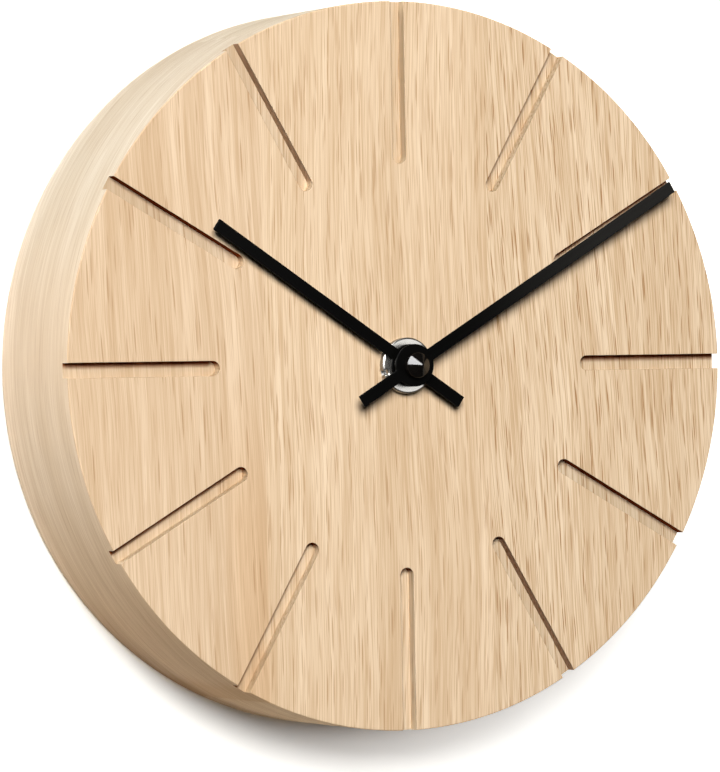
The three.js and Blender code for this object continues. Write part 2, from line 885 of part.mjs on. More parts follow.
function makeStator() {
  const armWidth = 3;
  const { left, right, bottom, top } = STATOR;
  const block = box(left, bottom, right, 0.5, STATOR_LAYER);
  const ring = disc(4.3, STATOR_LAYER, ROTOR_ARBOR, 32);
  const leftArm = box(left, 0, left + armWidth, top, STATOR_LAYER);
  const rightArm = box(right - armWidth, 0, right, top, STATOR_LAYER);
  const rotorHole = disc(3.1, [STATOR_LAYER[0] - 1, STATOR_LAYER[1] + 1], ROTOR_ARBOR, 32);
  return cut(join(block, ring, leftArm, rightArm), rotorHole);
}


// A form turned about the coil's own axis, which runs along x. The profile lists [radius, x].
function turnedAlongX(profile, y, z, facets = 24) {
  const points = profile.map(([radius, x]) => new THREE.Vector2(radius, x));
  const geometry = new THREE.LatheGeometry(points, facets);
  geometry.rotateZ(-Math.PI / 2);
  return solidOf(geometry.translate(0, y, z));
}

function centredBox(left, right, halfY, halfZ) {
  return box(left, COIL.y - halfY, right, COIL.y + halfY, [COIL.z - halfZ, COIL.z + halfZ]);
}

function makeCoilCore() {
  return centredBox(STATOR.left, STATOR.right, 1.5, 0.5);
}

function makeCoilBobbin() {
  const tube = centredBox(COIL.left, COIL.right, 2.4, 1.4);
  const leftFlange = centredBox(COIL.left, COIL.left + COIL.flange, 4.4, 4.4);
  const rightFlange = centredBox(COIL.right - COIL.flange, COIL.right, 4.4, 4.4);
  const coreHole = centredBox(COIL.left - 1, COIL.right + 1, 1.7, 0.7);
  return cut(join(tube, leftFlange, rightFlange), coreHole);
}

function makeCoilWinding() {
  const gap = 0.2;
  const left = COIL.left + COIL.flange + gap;
  const right = COIL.right - COIL.flange - gap;
  const radius = 4;
  const crown = 0.3;
  const body = turnedAlongX(
    [
      [0, left],
      [radius - crown, left],
      [radius, left + crown],
      [radius, right - crown],
      [radius - crown, right],
      [0, right],
    ],
    COIL.y,
    COIL.z,
    28,
  );
  return cut(body, centredBox(left - 1, right + 1, 2.6, 1.6));
}

function makeCircuitBoard() {
  return plate(roundedRectangle(9.5, 3, 25.8, 26, 1), BOARD_LAYER);
}

function makeQuartzCrystal() {
  const radius = 1.5;
  const [left, right] = [12, 20];
  return turnedAlongX(
    [
      [0, left],
      [radius * 0.85, left],
      [radius, left + 0.3],
      [radius, right - 0.3],
      [radius * 0.85, right],
      [0, right],
    ],
    23.5,
    22.6,
    20,
  );
}

function makeTimingChip() {
  const base = BOARD_LAYER[1] + 0.1;
  return turned(
    [
      [0, base],
      [2.2, base],
      [2.0, base + 0.6],
      [1.3, base + 1.1],
      [0, base + 1.3],
    ],
    new THREE.Vector2(16, 8.5),
  );
}

// ---- Battery and its contacts ----

const CELL = {
  y: (BAY_BOTTOM + BAY_TOP) / 2,
  z: CASE_FRONT - BAY_FRONT_WALL - 0.25 - CELL_RADIUS,
};

function makeBatteryCell() {
  const rim = 0.6;
  const left = -CELL_HALF_LENGTH + CELL_BUTTON_HEIGHT;
  const right = CELL_HALF_LENGTH;
  return turnedAlongX(
    [
      [0, left],
      [CELL_RADIUS - rim, left],
      [CELL_RADIUS, left + rim],
      [CELL_RADIUS, right - rim],
      [CELL_RADIUS - rim, right],
      [0, right],
    ],
    CELL.y,
    CELL.z,
    36,
  );
}

function makeBatteryButton() {
  const left = -CELL_HALF_LENGTH;
  const right = left + CELL_BUTTON_HEIGHT - 0.05;
  return turnedAlongX(
    [
      [0, left],
      [CELL_BUTTON_RADIUS - 0.3, left],
      [CELL_BUTTON_RADIUS, left + 0.3],
      [CELL_BUTTON_RADIUS, right],
      [0, right],
    ],
    CELL.y,
    CELL.z,
    24,
  );
}

const CONTACT_SHEET = 0.3;
const CONTACT_LAYER = [21.4, 29];
const STRIP_LAYER = [21.4, 23.2];

// A plate at the left end of the bay, and a strip from it along the works to the circuit board.
function makePositiveContact() {
  const x = -26.25;
  const pad = plate(ribbonOutline([[x, -24], [x, -13.4]], CONTACT_SHEET), CONTACT_LAYER);
  const strip = plate(
    ribbonOutline([[x, -14], [x, -9.95], [19.9, -9.95], [19.9, 2.7]], CONTACT_SHEET),
    STRIP_LAYER,
  );
  return join(pad, strip);
}

// A bowed leaf at the right end of the bay, and a strip from it up beside the circuit board.
function makeNegativeContact() {
  const x = 26.25;
  const bow = 0.6;
  const leaf = plate(
    ribbonOutline([[x, -24.5], [x - bow, CELL.y], [x, -14.5], [x, -13.4]], CONTACT_SHEET),
    CONTACT_LAYER,
  );
  const strip = plate(ribbonOutline([[x, -13.8], [x, 7]], CONTACT_SHEET), STRIP_LAYER);
  return join(leaf, strip);
}

// ---- The assembly ----

const clock = new THREE.Group();

function addPiece(name, solid, material) {
  const mesh = new THREE.Mesh(geometryOf(solid), material);
  mesh.name = name;
  clock.add(mesh);
}

addPiece('oak_body', makeOakBody(), OAK);
addPiece('keyhole_plate', makeKeyholePlate(), STEEL);
addPiece('hanger_screw_upper', makeHangerScrew(screwHeights()[0]), STEEL);
addPiece('hanger_screw_lower', makeHangerScrew(screwHeights()[1]), STEEL);

addPiece('hand_nut', makeHandNut(), CHROME);
addPiece('nut_washer', ringPlate(6.5, 4.2, [DIAL + 0.1, DIAL + 0.4], 48), STEEL);
addPiece('rubber_washer', ringPlate(13, 4.3, [CASE_FRONT + 0.1, POCKET_FLOOR - 0.1]), RUBBER);
addPiece('threaded_bushing', makeThreadedBushing(), BRASS);

addPiece('movement_case', makeMovementCase(), CASE_PLASTIC);
addPiece('rear_cover', makeRearCover(), CASE_PLASTIC);
addPiece('middle_plate', makeMiddlePlate(), BOBBIN_PLASTIC);

addPiece('hour_hand', makeHand(HOUR_HAND, DIAL + HOUR_HAND_BACK, 2.65), HAND_BLACK);
addPiece('hour_wheel', makeHourWheel(), GEAR_PLASTIC);
addPiece('minute_hand', makeHand(MINUTE_HAND, DIAL + MINUTE_HAND_BACK, 1.6), HAND_BLACK);
addPiece('cap_nut', makeCapNut(), CAP_BLACK);
addPiece('minute_arbor', makeMinuteArbor(), BRASS);
addPiece(
  'centre_wheel',
  gear(CENTRE_WHEEL_TEETH, CENTRE_MODULE, CENTRE, 0, CENTRE_WHEEL_LAYER, 1.9),
  GEAR_PLASTIC,
);
addPiece('clutch_spring', makeClutchSpring(), STEEL);
addPiece('minute_wheel', makeMinuteWheel(), GEAR_PLASTIC);
addPiece('third_wheel', makeThirdWheel(), GEAR_PLASTIC);
addPiece('seconds_wheel', makeSecondsWheel(), GEAR_PLASTIC);
addPiece('intermediate_wheel', makeIntermediateWheel(), GEAR_PLASTIC);
addPiece('rotor_pinion', makeRotorPinion(), GEAR_PLASTIC);
addPiece('rotor_magnet', makeRotorMagnet(), MAGNET);
addPiece('setting_pinion', makeSettingPinion(), GEAR_PLASTIC);
addPiece('setting_knob', makeSettingKnob(), CASE_PLASTIC);

addPiece('stator', makeStator(), STEEL);
addPiece('coil_core', makeCoilCore(), STEEL);
addPiece('coil_bobbin', makeCoilBobbin(), BOBBIN_PLASTIC);
addPiece('coil_winding', makeCoilWinding(), COPPER);
addPiece('circuit_board', makeCircuitBoard(), BOARD_GREEN);
addPiece('quartz_crystal', makeQuartzCrystal(), STEEL);
addPiece('timing_chip', makeTimingChip(), EPOXY);

addPiece('battery_cell', makeBatteryCell(), CELL_SLEEVE);
addPiece('battery_button', makeBatteryButton(), STEEL);
addPiece('positive_contact', makePositiveContact(), BRASS);
addPiece('negative_contact', makeNegativeContact(), BRASS);

// Stand the clock up: its own y becomes up, and its face looks along -Y.
clock.rotation.x = Math.PI / 2;

export default clock;
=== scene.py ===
"""The looks of a round solid-oak wall clock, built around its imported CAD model.

Shapes are drawn in the clock's own plane: millimetres, x to the right, y up, z towards the viewer,
z = 0 at the back of the wood. In Blender's frame that y is +Z, and that z is -Y.
"""

import json
import math

import bmesh
import bpy
from mathutils import Matrix, Vector


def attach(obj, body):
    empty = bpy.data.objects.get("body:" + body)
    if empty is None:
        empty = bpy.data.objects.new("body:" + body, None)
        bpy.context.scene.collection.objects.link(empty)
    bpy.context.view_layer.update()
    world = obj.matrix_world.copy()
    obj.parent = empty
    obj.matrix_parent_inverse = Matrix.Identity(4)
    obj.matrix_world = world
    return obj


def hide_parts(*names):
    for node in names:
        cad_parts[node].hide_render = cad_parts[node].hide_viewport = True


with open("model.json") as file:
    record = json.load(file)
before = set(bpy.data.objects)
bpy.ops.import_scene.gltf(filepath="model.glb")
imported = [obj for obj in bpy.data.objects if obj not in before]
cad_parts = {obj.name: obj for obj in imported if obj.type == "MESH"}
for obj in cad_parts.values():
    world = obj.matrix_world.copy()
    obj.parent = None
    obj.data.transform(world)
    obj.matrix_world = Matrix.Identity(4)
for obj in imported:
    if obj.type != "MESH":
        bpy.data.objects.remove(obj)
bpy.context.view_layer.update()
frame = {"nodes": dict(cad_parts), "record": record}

MM = 0.001  # Blender's unit is the metre.

# ---- Sizes, in millimetres ----

# Oak body.
BODY_RADIUS = 90.0
DIAL = 41.0
RIM_EDGE = 0.3
SLOT_EDGE = 0.12
BACK_EDGE = 0.6
SLOT_COUNT = 12
SLOT_HALF_WIDTH = 1.83
SLOT_INNER_CENTRE = 51.7
SLOT_DEPTH = 3.0
POCKET_HALF = 31.0
POCKET_CORNER = 8.0
POCKET_FLOOR = 35.0
POCKET_EDGE = 0.4
RECESS_EDGE = 0.2
SHAFT_HOLE = 4.3

# Keyhole hanger: the plate, its recess, and the slot behind it for the nail's head.
HANGER_Y = 61.0
RECESS_HALF = (8.4, 21.4)
RECESS_FLOOR = 2.0
NAIL_SLOT_HALF = 6.0
NAIL_SLOT_FLOOR = 9.0
PLATE_HALF = (8.0, 21.0)
PLATE_CORNER = 3.0
PLATE_HEIGHTS = (0.3, 1.8)
PLATE_EDGE = 0.2
KEYHOLE_Y = 57.0
KEYHOLE_TOP = 67.0
KEYHOLE_RADIUS = 4.5
KEYHOLE_SLOT_HALF = 2.3
SCREW_HEIGHTS = (77.0, 45.0)
SCREW_HOLE_RADIUS = 1.5
PLATE_SCREW_HOLE = 1.8
SINK_RADIUS = 3.3
SINK_DEPTH = 1.45
PILOT_FLOOR = 15.0

# Hands, with their directions clockwise from twelve, in degrees.
BOSS_RADIUS = 5.25
HAND_HALF_WIDTH = 1.5
HAND_THICKNESS = 0.6
HAND_EDGE = 0.14
HAND_CORNER = 0.12
HOUR_HAND = {"tip": 62.5, "tail": 16.7, "clockwise": 303.9, "back": 44.5, "bore": 2.65}
MINUTE_HAND = {"tip": 86.0, "tail": 17.0, "clockwise": 59.2, "back": 46.7, "bore": 1.6}

# What holds the hands and the movement.
NUT_RADIUS = 6.9
NUT_BORE = 4.2
NUT_HEIGHTS = (41.55, 43.65)
NUT_EDGE = 0.4
NOTCH_COUNT = 2
NOTCH_HALF_WIDTH = 0.55
NOTCH_DEPTH = 1.1
NOTCH_CORNER = 0.12
NOTCH_ANGLE = math.radians(15)
WASHER_RADIUS = 6.5
WASHER_BORE = 4.2
WASHER_HEIGHTS = (41.1, 41.4)
WASHER_EDGE = 0.08
BUSHING_BORE = 2.8
BUSHING_RADIUS = 3.95
BUSHING_FRONT = 44.2
FLANGE_RADIUS = 6.5
FLANGE_HEIGHTS = (31.2, 32.2)
THREAD_START = 32.4
THREAD_PITCH = 0.5
THREAD_DEPTH = 0.25
CAP_RADIUS = 3.1
CAP_BACK = 47.4
CAP_SHOULDER = 49.2
CAP_TIP = 51.9
CAP_BORE = 1.6
CAP_BORE_DEPTH = 2.3

# Movement case and battery.
CASE_HALF = 28.0
CASE_CORNER = 4.0
CASE_HEIGHTS = (18.0, 34.0)
CASE_EDGE = 0.5
CASE_BORE = 4.25
WELL_EDGE = 0.25
WORKS = {"left": -26.6, "bottom": -10.9, "right": 26.6, "top": 26.6, "corner": 2.6, "floor": 32.4}
BAY = {"left": -26.6, "bottom": -26.9, "right": 26.6, "top": -12.1, "corner": 0.8, "floor": 33.0}
COVER_HEIGHTS = (18.2, 19.7)
COVER_GAP = 0.25
COVER_CORNER = 2.4
COVER_EDGE = 0.25
COVER_BORE = 1.7
KNOB_CENTRE = (-16.388, 6.788)
KNOB_RADIUS = 6.5
KNOB_HEIGHTS = (14.6, 17.4)
KNOB_EDGE = 0.35
KNOB_FLUTES = 24
KNOB_FLUTE_DEPTH = 0.45
KNOB_DISH = 4.6
KNOB_BORE = 1.05
CELL_AXIS = (-19.5, 25.5)
CELL_RADIUS = 7.25
CELL_ENDS = (-24.0, 25.25)
CELL_CRIMP = 0.5
BUTTON_RADIUS = 2.75
BUTTON_LEFT = -25.25


# ---- Outlines in the clock's plane, counterclockwise ----


def polar(radius, angle, centre=(0.0, 0.0)):
    return (centre[0] + radius * math.cos(angle), centre[1] + radius * math.sin(angle))


def circle(radius, points=64, centre=(0.0, 0.0)):
    return [polar(radius, 2 * math.pi * i / points, centre) for i in range(points)]


def rounded_box(left, bottom, right, top, corner, per_corner=8):
    centres = (
        (right - corner, top - corner),
        (left + corner, top - corner),
        (left + corner, bottom + corner),
        (right - corner, bottom + corner),
    )
    outline = []
    for quarter, centre in enumerate(centres):
        for i in range(per_corner + 1):
            outline.append(polar(corner, math.pi / 2 * (quarter + i / per_corner), centre))
    return outline


def upright_slot(half_width, bottom, top):
    steps = 16
    outline = [polar(half_width, math.pi * i / steps, (0.0, top)) for i in range(steps + 1)]
    for i in range(steps + 1):
        outline.append(polar(half_width, math.pi * (1 + i / steps), (0.0, bottom)))
    return outline


def keyhole_outline():
    """The round entry with the narrower slot above it."""
    meet = math.asin(KEYHOLE_SLOT_HALF / KEYHOLE_RADIUS)
    start = math.pi / 2 + meet
    sweep = 2 * math.pi - 2 * meet
    steps = 40
    outline = [
        polar(KEYHOLE_RADIUS, start + sweep * i / steps, (0.0, KEYHOLE_Y)) for i in range(steps + 1)
    ]
    steps = 14
    for i in range(steps + 1):
        outline.append(polar(KEYHOLE_SLOT_HALF, math.pi * i / steps, (0.0, KEYHOLE_TOP)))
    return outline


def turned_outline(outline, angle):
    c, s = math.cos(angle), math.sin(angle)
    return [(x * c - y * s, x * s + y * c) for x, y in outline]


def soften(points, reach, steps, closed=True):
    """Each corner becomes a short curve that starts at most reach before it."""
    result = []
    count = len(points)
    for i, point in enumerate(points):
        if not closed and i in (0, count - 1):
            result.append(point)
            continue
        corner = Vector(point)
        to_last = Vector(points[i - 1]) - corner
        to_next = Vector(points[(i + 1) % count]) - corner
        cut = min(reach, 0.45 * to_last.length, 0.45 * to_next.length)
        start = corner + to_last.normalized() * cut
        end = corner + to_next.normalized() * cut
        for k in range(steps + 1):
            t = k / steps
            mixed = start * (1 - t) ** 2 + corner * (2 * t * (1 - t)) + end * t**2
            result.append(tuple(mixed))
    return result


def inset(outline, distance):
    """The outline moved inwards; a negative distance moves it outwards."""
    moved = []
    count = len(outline)
    for i, point in enumerate(outline):
        here = Vector(point)
        before = (here - Vector(outline[i - 1])).normalized()
        after = (Vector(outline[(i + 1) % count]) - here).normalized()
        inward = Vector((-before.y - after.y, before.x + after.x)).normalized()
        lean = max(inward.dot(Vector((-after.y, after.x))), 0.3)
        moved.append(tuple(here + inward * (distance / lean)))
    return moved


# ---- Building meshes ----


def on_clock(x, y, z):
    """A point over the clock's plane, at a height z, in Blender's frame."""
    return Vector((x, -z, y)) * MM


def on_cell(u, v, along):
    """A point about the battery's axis, which runs along x."""
    return on_clock(along, CELL_AXIS[0] + u, CELL_AXIS[1] + v)


# Faces that meet at more than this angle keep a hard edge.
HARD_EDGE = math.radians(32)


class Solid:
    """A closed mesh built from loops of points, joined by bands and closed by flat caps."""

    def __init__(self, place=on_clock):
        self.bm = bmesh.new()
        self.place = place
        self.flat = []

    def loop(self, outline, height):
        return [self.bm.verts.new(self.place(x, y, height)) for x, y in outline]

    def band(self, low, high, slots=None):
        """Quads between two loops. slots gives each step's material."""
        for i in range(len(low)):
            j = (i + 1) % len(low)
            face = self.bm.faces.new((low[i], low[j], high[j], high[i]))
            if slots:
                face.material_index = slots[i]

    def walls(self, loops, slots=None):
        for low, high in zip(loops, loops[1:]):
            self.band(low, high, slots)

    def shaft(self, outline, profile, slot=0):
        """Walls through (inset, height) steps of one outline. Returns the first and last loops."""
        loops = [self.loop(inset(outline, step), height) for step, height in profile]
        self.walls(loops, [slot] * len(outline))
        return loops[0], loops[-1]

    def cap(self, *loops, slot=0):
        """Fills a loop, less the loops inside it."""
        edges = []
        for loop in loops:
            for a, b in zip(loop, loop[1:] + loop[:1]):
                edges.append(self.bm.edges.get((a, b)) or self.bm.edges.new((a, b)))
        made = bmesh.ops.triangle_fill(self.bm, use_beauty=True, edges=edges)
        for item in made["geom"]:
            if isinstance(item, bmesh.types.BMFace):
                item.material_index = slot
                self.flat.append(item)

    def polygon(self, loop, slot):
        face = self.bm.faces.new(loop)
        face.material_index = slot
        self.flat.append(face)

    def turn(self, profile, points, closed=False):
        """A turned form from (radius, height) points. It ends in a point where the radius is 0."""
        loops = []
        for radius, height in profile:
            if radius == 0:
                loops.append([self.bm.verts.new(self.place(0.0, 0.0, height))])
            else:
                loops.append(self.loop(circle(radius, points), height))
        pairs = list(zip(loops, loops[1:]))
        if closed:
            pairs.append((loops[-1], loops[0]))
        for low, high in pairs:
            if len(low) == 1 or len(high) == 1:
                tip, ring = (low[0], high) if len(low) == 1 else (high[0], low)
                for i in range(len(ring)):
                    self.bm.faces.new((ring[i], ring[(i + 1) % len(ring)], tip))
            else:
                self.band(low, high)

    def finish(self, name, body, materials, replaced):
        """Turns the loops into a piece that rides on a body and stands for a CAD node."""
        bm = self.bm
        bmesh.ops.recalc_face_normals(bm, faces=bm.faces)
        flat = set(self.flat)
        for face in bm.faces:
            face.smooth = True
        for edge in bm.edges:
            faces = edge.link_faces
            on_cap = len([f for f in faces if f in flat]) == 1
            edge.smooth = not on_cap and edge.calc_face_angle(0.0) < HARD_EDGE
        mesh = bpy.data.meshes.new(name)
        bm.to_mesh(mesh)
        bm.free()
        for material in materials:
            mesh.materials.append(material)
        piece = bpy.data.objects.new(name, mesh)
        bpy.context.scene.collection.objects.link(piece)
        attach(piece, body)
        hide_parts(replaced)
        return piece


EDGE_STEPS = 3


def rounded_steps(low, high, edge):
    """(inset, height) steps of a wall whose two edges are rounded."""
    quarter = [math.pi / 2 * k / EDGE_STEPS for k in range(EDGE_STEPS + 1)]
    lower = [(edge * (1 - math.sin(t)), low + edge * (1 - math.cos(t))) for t in quarter]
    upper = [(step, high - (height - low)) for step, height in reversed(lower)]
    return lower + upper


def mirrored(steps):
    """The same steps for a hole, which gets wider at its edges."""
    return [(-step, height) for step, height in steps]


def cap_ends(solid, outer, holes):
    """Closes both ends of a wall, less the holes that pass through."""
    for end in (0, 1):
        solid.cap(outer[end], *[hole[end] for hole in holes])


def plate(solid, outline, heights, edge, holes):
    """A flat plate with rounded edges, with holes whose edges are rounded the same way."""
    steps = rounded_steps(heights[0], heights[1], edge)
    outer = solid.shaft(outline, steps)
    cap_ends(solid, outer, [solid.shaft(hole, mirrored(steps)) for hole in holes])


# ---- Nodes ----


class Graph:
    """Short names for the shader nodes of one material."""

    def __init__(self, name):
        self.material = bpy.data.materials.new(name)
        self.material.use_nodes = True
        self.tree = self.material.node_tree
        self.shader = self.tree.nodes["Principled BSDF"]
        self.output = self.tree.nodes["Material Output"]

    def node(self, kind, inputs=(), **settings):
        made = self.tree.nodes.new(kind)
        for key, value in settings.items():
            setattr(made, key, value)
        for key, value in dict(inputs).items():
            self.put(made.inputs[key], value)
        return made

    def put(self, socket, value):
        if isinstance(value, bpy.types.NodeSocket):
            self.tree.links.new(value, socket)
        elif hasattr(socket.default_value, "__len__") and len(socket.default_value) == 4:
            socket.default_value = (*value[:3], 1.0)
        else:
            socket.default_value = value

    def set(self, **values):
        """Sets the shader's own sockets; an underscore stands for a space."""
        for key, value in values.items():
            self.put(self.shader.inputs[key.replace("_", " ")], value)

    def math(self, operation, a, b=0.0):
        return self.node("ShaderNodeMath", {0: a, 1: b}, operation=operation).outputs[0]

    def add(self, a, b):
        return self.math("ADD", a, b)

    def times(self, a, b):
        return self.math("MULTIPLY", a, b)

    def step(self, value, low, high, to_low=0.0, to_high=1.0):
        """A smooth change from to_low to to_high as value goes from low to high."""
        made = self.node(
            "ShaderNodeMapRange",
            {"Value": value, "From Min": low, "From Max": high, "To Min": to_low, "To Max": to_high},
            interpolation_type="SMOOTHSTEP",
        )
        return made.outputs["Result"]

    def point(self, x, y, z):
        return self.node("ShaderNodeCombineXYZ", {"X": x, "Y": y, "Z": z}).outputs[0]

    def noise(self, vector, detail, rough=0.5, scale=1.0):
        made = self.node(
            "ShaderNodeTexNoise",
            {"Vector": vector, "Scale": scale, "Detail": detail, "Roughness": rough},
        )
        return made.outputs["Fac"]

    def blend(self, factor, a, b, kind="MIX"):
        """Colour a where the factor is 0, b where it is 1."""
        made = self.node("ShaderNodeMix", data_type="RGBA", blend_type=kind)
        factor_socket, a_socket, b_socket = made.inputs[0], made.inputs[6], made.inputs[7]
        self.put(factor_socket, factor)
        self.put(a_socket, a)
        self.put(b_socket, b)
        return made.outputs[2]

    def bump(self, height, distance, strength):
        """A relief whose height of 1 stands for a distance in metres."""
        made = self.node(
            "ShaderNodeBump", {"Height": height, "Distance": distance, "Strength": strength}
        )
        return made.outputs["Normal"]

    def millimetres(self):
        """The point on the object, as x, depth towards the viewer, and height, in millimetres."""
        coordinates = self.node("ShaderNodeTexCoord")
        split = self.node("ShaderNodeSeparateXYZ", {"Vector": coordinates.outputs["Object"]})
        x = self.times(split.outputs["X"], 1 / MM)
        depth = self.times(split.outputs["Y"], -1 / MM)
        height = self.times(split.outputs["Z"], 1 / MM)
        return x, depth, height

    def from_axis(self):
        """The distance from the clock's axis, in millimetres."""
        x, _, height = self.millimetres()
        made = self.node("ShaderNodeVectorMath", {0: self.point(x, 0.0, height)}, operation="LENGTH")
        return made.outputs["Value"]

    def facing(self):
        """The surface's own direction, as sockets X, Y and Z."""
        normal = self.node("ShaderNodeTexCoord").outputs["Normal"]
        return self.node("ShaderNodeSeparateXYZ", {"Vector": normal}).outputs

    def tinted(self, factor, colour, tint):
        """The colour, multiplied by a tint where the factor is 1."""
        return self.blend(factor, colour, self.blend(1.0, colour, tint, "MULTIPLY"))


# ---- Oak ----

# The disc is glued up from three staves of upright grain. Each leans and shows its pores differently.
STAVE_JOINTS = (-38.0, 24.0)
STAVE_LEAN = (0.05, 0.0, 0.05)
STAVE_SHIFT = (0.0, 71.3, 153.1)
STAVE_PORES = (0.25, 0.60, 1.10)
STAVE_FIBRES = (0.40, 0.52, 0.72)
STAVE_TINT = ((1.0, 1.0, 1.0), (1.04, 1.055, 1.06), (1.045, 1.075, 1.095))

# The rings stand steeply behind the face. In the rim they lie nearly flat, so its lines follow it
# round, and break up this much less often.
FACE_RING_TILT = math.radians(32)
RIM_RING_TILT = math.radians(76)
RIM_LINE_BREAKS = 0.08
# Millimetres between two years, and how far the grain wanders to the side.
YEAR_WIDTH = 2.7
WANDER = 6.5

# Pores are longest upright. This is their cells' size along the rings, in millimetres.
PORE_ALONG_RING = 10 / 11
PORE_DARKNESS = 0.88
LONG_PORE_STRENGTH = 0.55
# The rim is plainer than the face.
RIM_CONTRAST = 0.65
RIM_PORE_STRENGTH = 0.45

OAK_LIGHT = (0.865, 0.668, 0.468)
OAK_DARK = (0.672, 0.478, 0.300)
OAK_FIBRE = (0.560, 0.360, 0.195)
OAK_PORE = (0.400, 0.205, 0.085)
# A darker band of heartwood comes up beside the left glue line.
BAND_ACROSS = -41.0
BAND_TINT = (0.91, 0.84, 0.76)
# Painted light: the left side of the rim is paler and greyer, most of all at the top, as where the
# light falls.
RIM_LEFT_PAINTED_LIGHT = (1.02, 1.10, 1.23)
RIM_TOP_PAINTED_LIGHT = (0.92, 1.08, 1.31)
# Painted shade: underneath, the wood is darker beside the wall.
UNDERSIDE_PAINTED_SHADE = (0.66, 0.60, 0.58)
# The rounded edge between the face and the rim is darker, which damps its bright line.
EDGE_TINT = (0.80, 0.70, 0.58)

# Painted shade in the slots: the walls that face away from the key light are painted dark brown,
# darkest near their two edges, and a painted shadow lies on the floor beside them.
PAINTED_SHADE_WALL_MIDDLE = (0.27, 0.08, 0.035)
PAINTED_SHADE_WALL_EDGES = (0.14, 0.035, 0.014)
PAINTED_SHADOW_ON_FLOOR = (0.40, 0.15, 0.06)
# Their other sides, and the rest of their floors, are nearly as light as the face.
LIT_SLOT_WALL = (0.98, 1.01, 1.0)
LIT_SLOT_FLOOR = (0.85, 0.88, 0.90)
KEY_DIRECTION = (-0.343, -0.891, 0.297)


def by_stave(g, x, values):
    """A number that changes from stave to stave."""
    total = values[0]
    for joint, low, high in zip(STAVE_JOINTS, values, values[1:]):
        total = g.add(total, g.times(g.math("GREATER_THAN", x, joint), high - low))
    return total


def sunless_side(g, x, height):
    """How far a point of a slot's floor lies towards the walls that the key light doesn't reach.

    It is measured from the slot's middle line, and at its round end from the end's centre.
    """
    pitch = 2 * math.pi / SLOT_COUNT
    angle = g.math("ARCTAN2", height, x)
    axis = g.times(g.math("ROUND", g.times(angle, 1 / pitch)), pitch)
    across = (g.times(g.math("SINE", axis), -1.0), g.math("COSINE", axis))
    along = (across[1], g.times(across[0], -1.0))

    def dot(direction, a, b):
        return g.add(g.times(direction[0], a), g.times(direction[1], b))

    offset = dot(across, x, height)
    past_end = g.math("MINIMUM", g.add(dot(along, x, height), -SLOT_INNER_CENTRE), 0.0)
    key_across = dot(across, KEY_DIRECTION[0], KEY_DIRECTION[2])
    key_along = dot(along, KEY_DIRECTION[0], KEY_DIRECTION[2])
    return g.add(g.times(offset, key_across), g.times(past_end, key_along))


def slot_with_painted_shade(g, x, depth, height, sideways, colour):
    """The wood of a slot's walls and floor, with painted shade and painted shadow on its sides away
    from the key light.
    """
    facing = g.facing()
    to_light = g.add(g.times(facing["X"], KEY_DIRECTION[0]), g.times(facing["Z"], KEY_DIRECTION[2]))
    from_middle = g.math("ABSOLUTE", g.add(depth, SLOT_DEPTH / 2 - DIAL))
    # Painted shade: walls facing away from the key light are dark brown, darkest near the face and
    # the floor.
    painted_wall_shade = g.blend(g.step(from_middle, 1.3, 0.4), PAINTED_SHADE_WALL_EDGES, PAINTED_SHADE_WALL_MIDDLE)
    wall = g.blend(g.step(to_light, -0.02, 0.34), painted_wall_shade, LIT_SLOT_WALL)
    # Painted shadow on the floor beside those walls.
    floor = g.blend(g.step(sunless_side(g, x, height), 0.0, 0.5), LIT_SLOT_FLOOR, PAINTED_SHADOW_ON_FLOOR)
    return g.blend(1.0, colour, g.blend(sideways, floor, wall), "MULTIPLY")


def rim_with_painted_light(g, depth, sideways, colour):
    """The wood of the rim, with painted light on its left side and top, painted shade underneath
    beside the wall, and a darker edge.
    """
    facing = g.facing()
    # Painted light on the rim's left side and top.
    pale = g.blend(g.step(facing["Z"], 0.0, 0.6), RIM_LEFT_PAINTED_LIGHT, RIM_TOP_PAINTED_LIGHT)
    painted_light_mask = g.times(g.step(facing["Z"], -0.75, -0.25), g.step(facing["X"], 0.6, 0.0))
    colour = g.tinted(g.times(sideways, painted_light_mask), colour, pale)
    # Painted shade underneath, beside the wall.
    under = g.times(g.step(depth, 16.0, 3.0), g.step(facing["Z"], -0.5, -0.9))
    colour = g.tinted(under, colour, UNDERSIDE_PAINTED_SHADE)
    on_edge = g.times(g.times(sideways, g.math("SUBTRACT", 1.0, sideways)), 4.0)
    return g.tinted(on_edge, colour, EDGE_TINT)


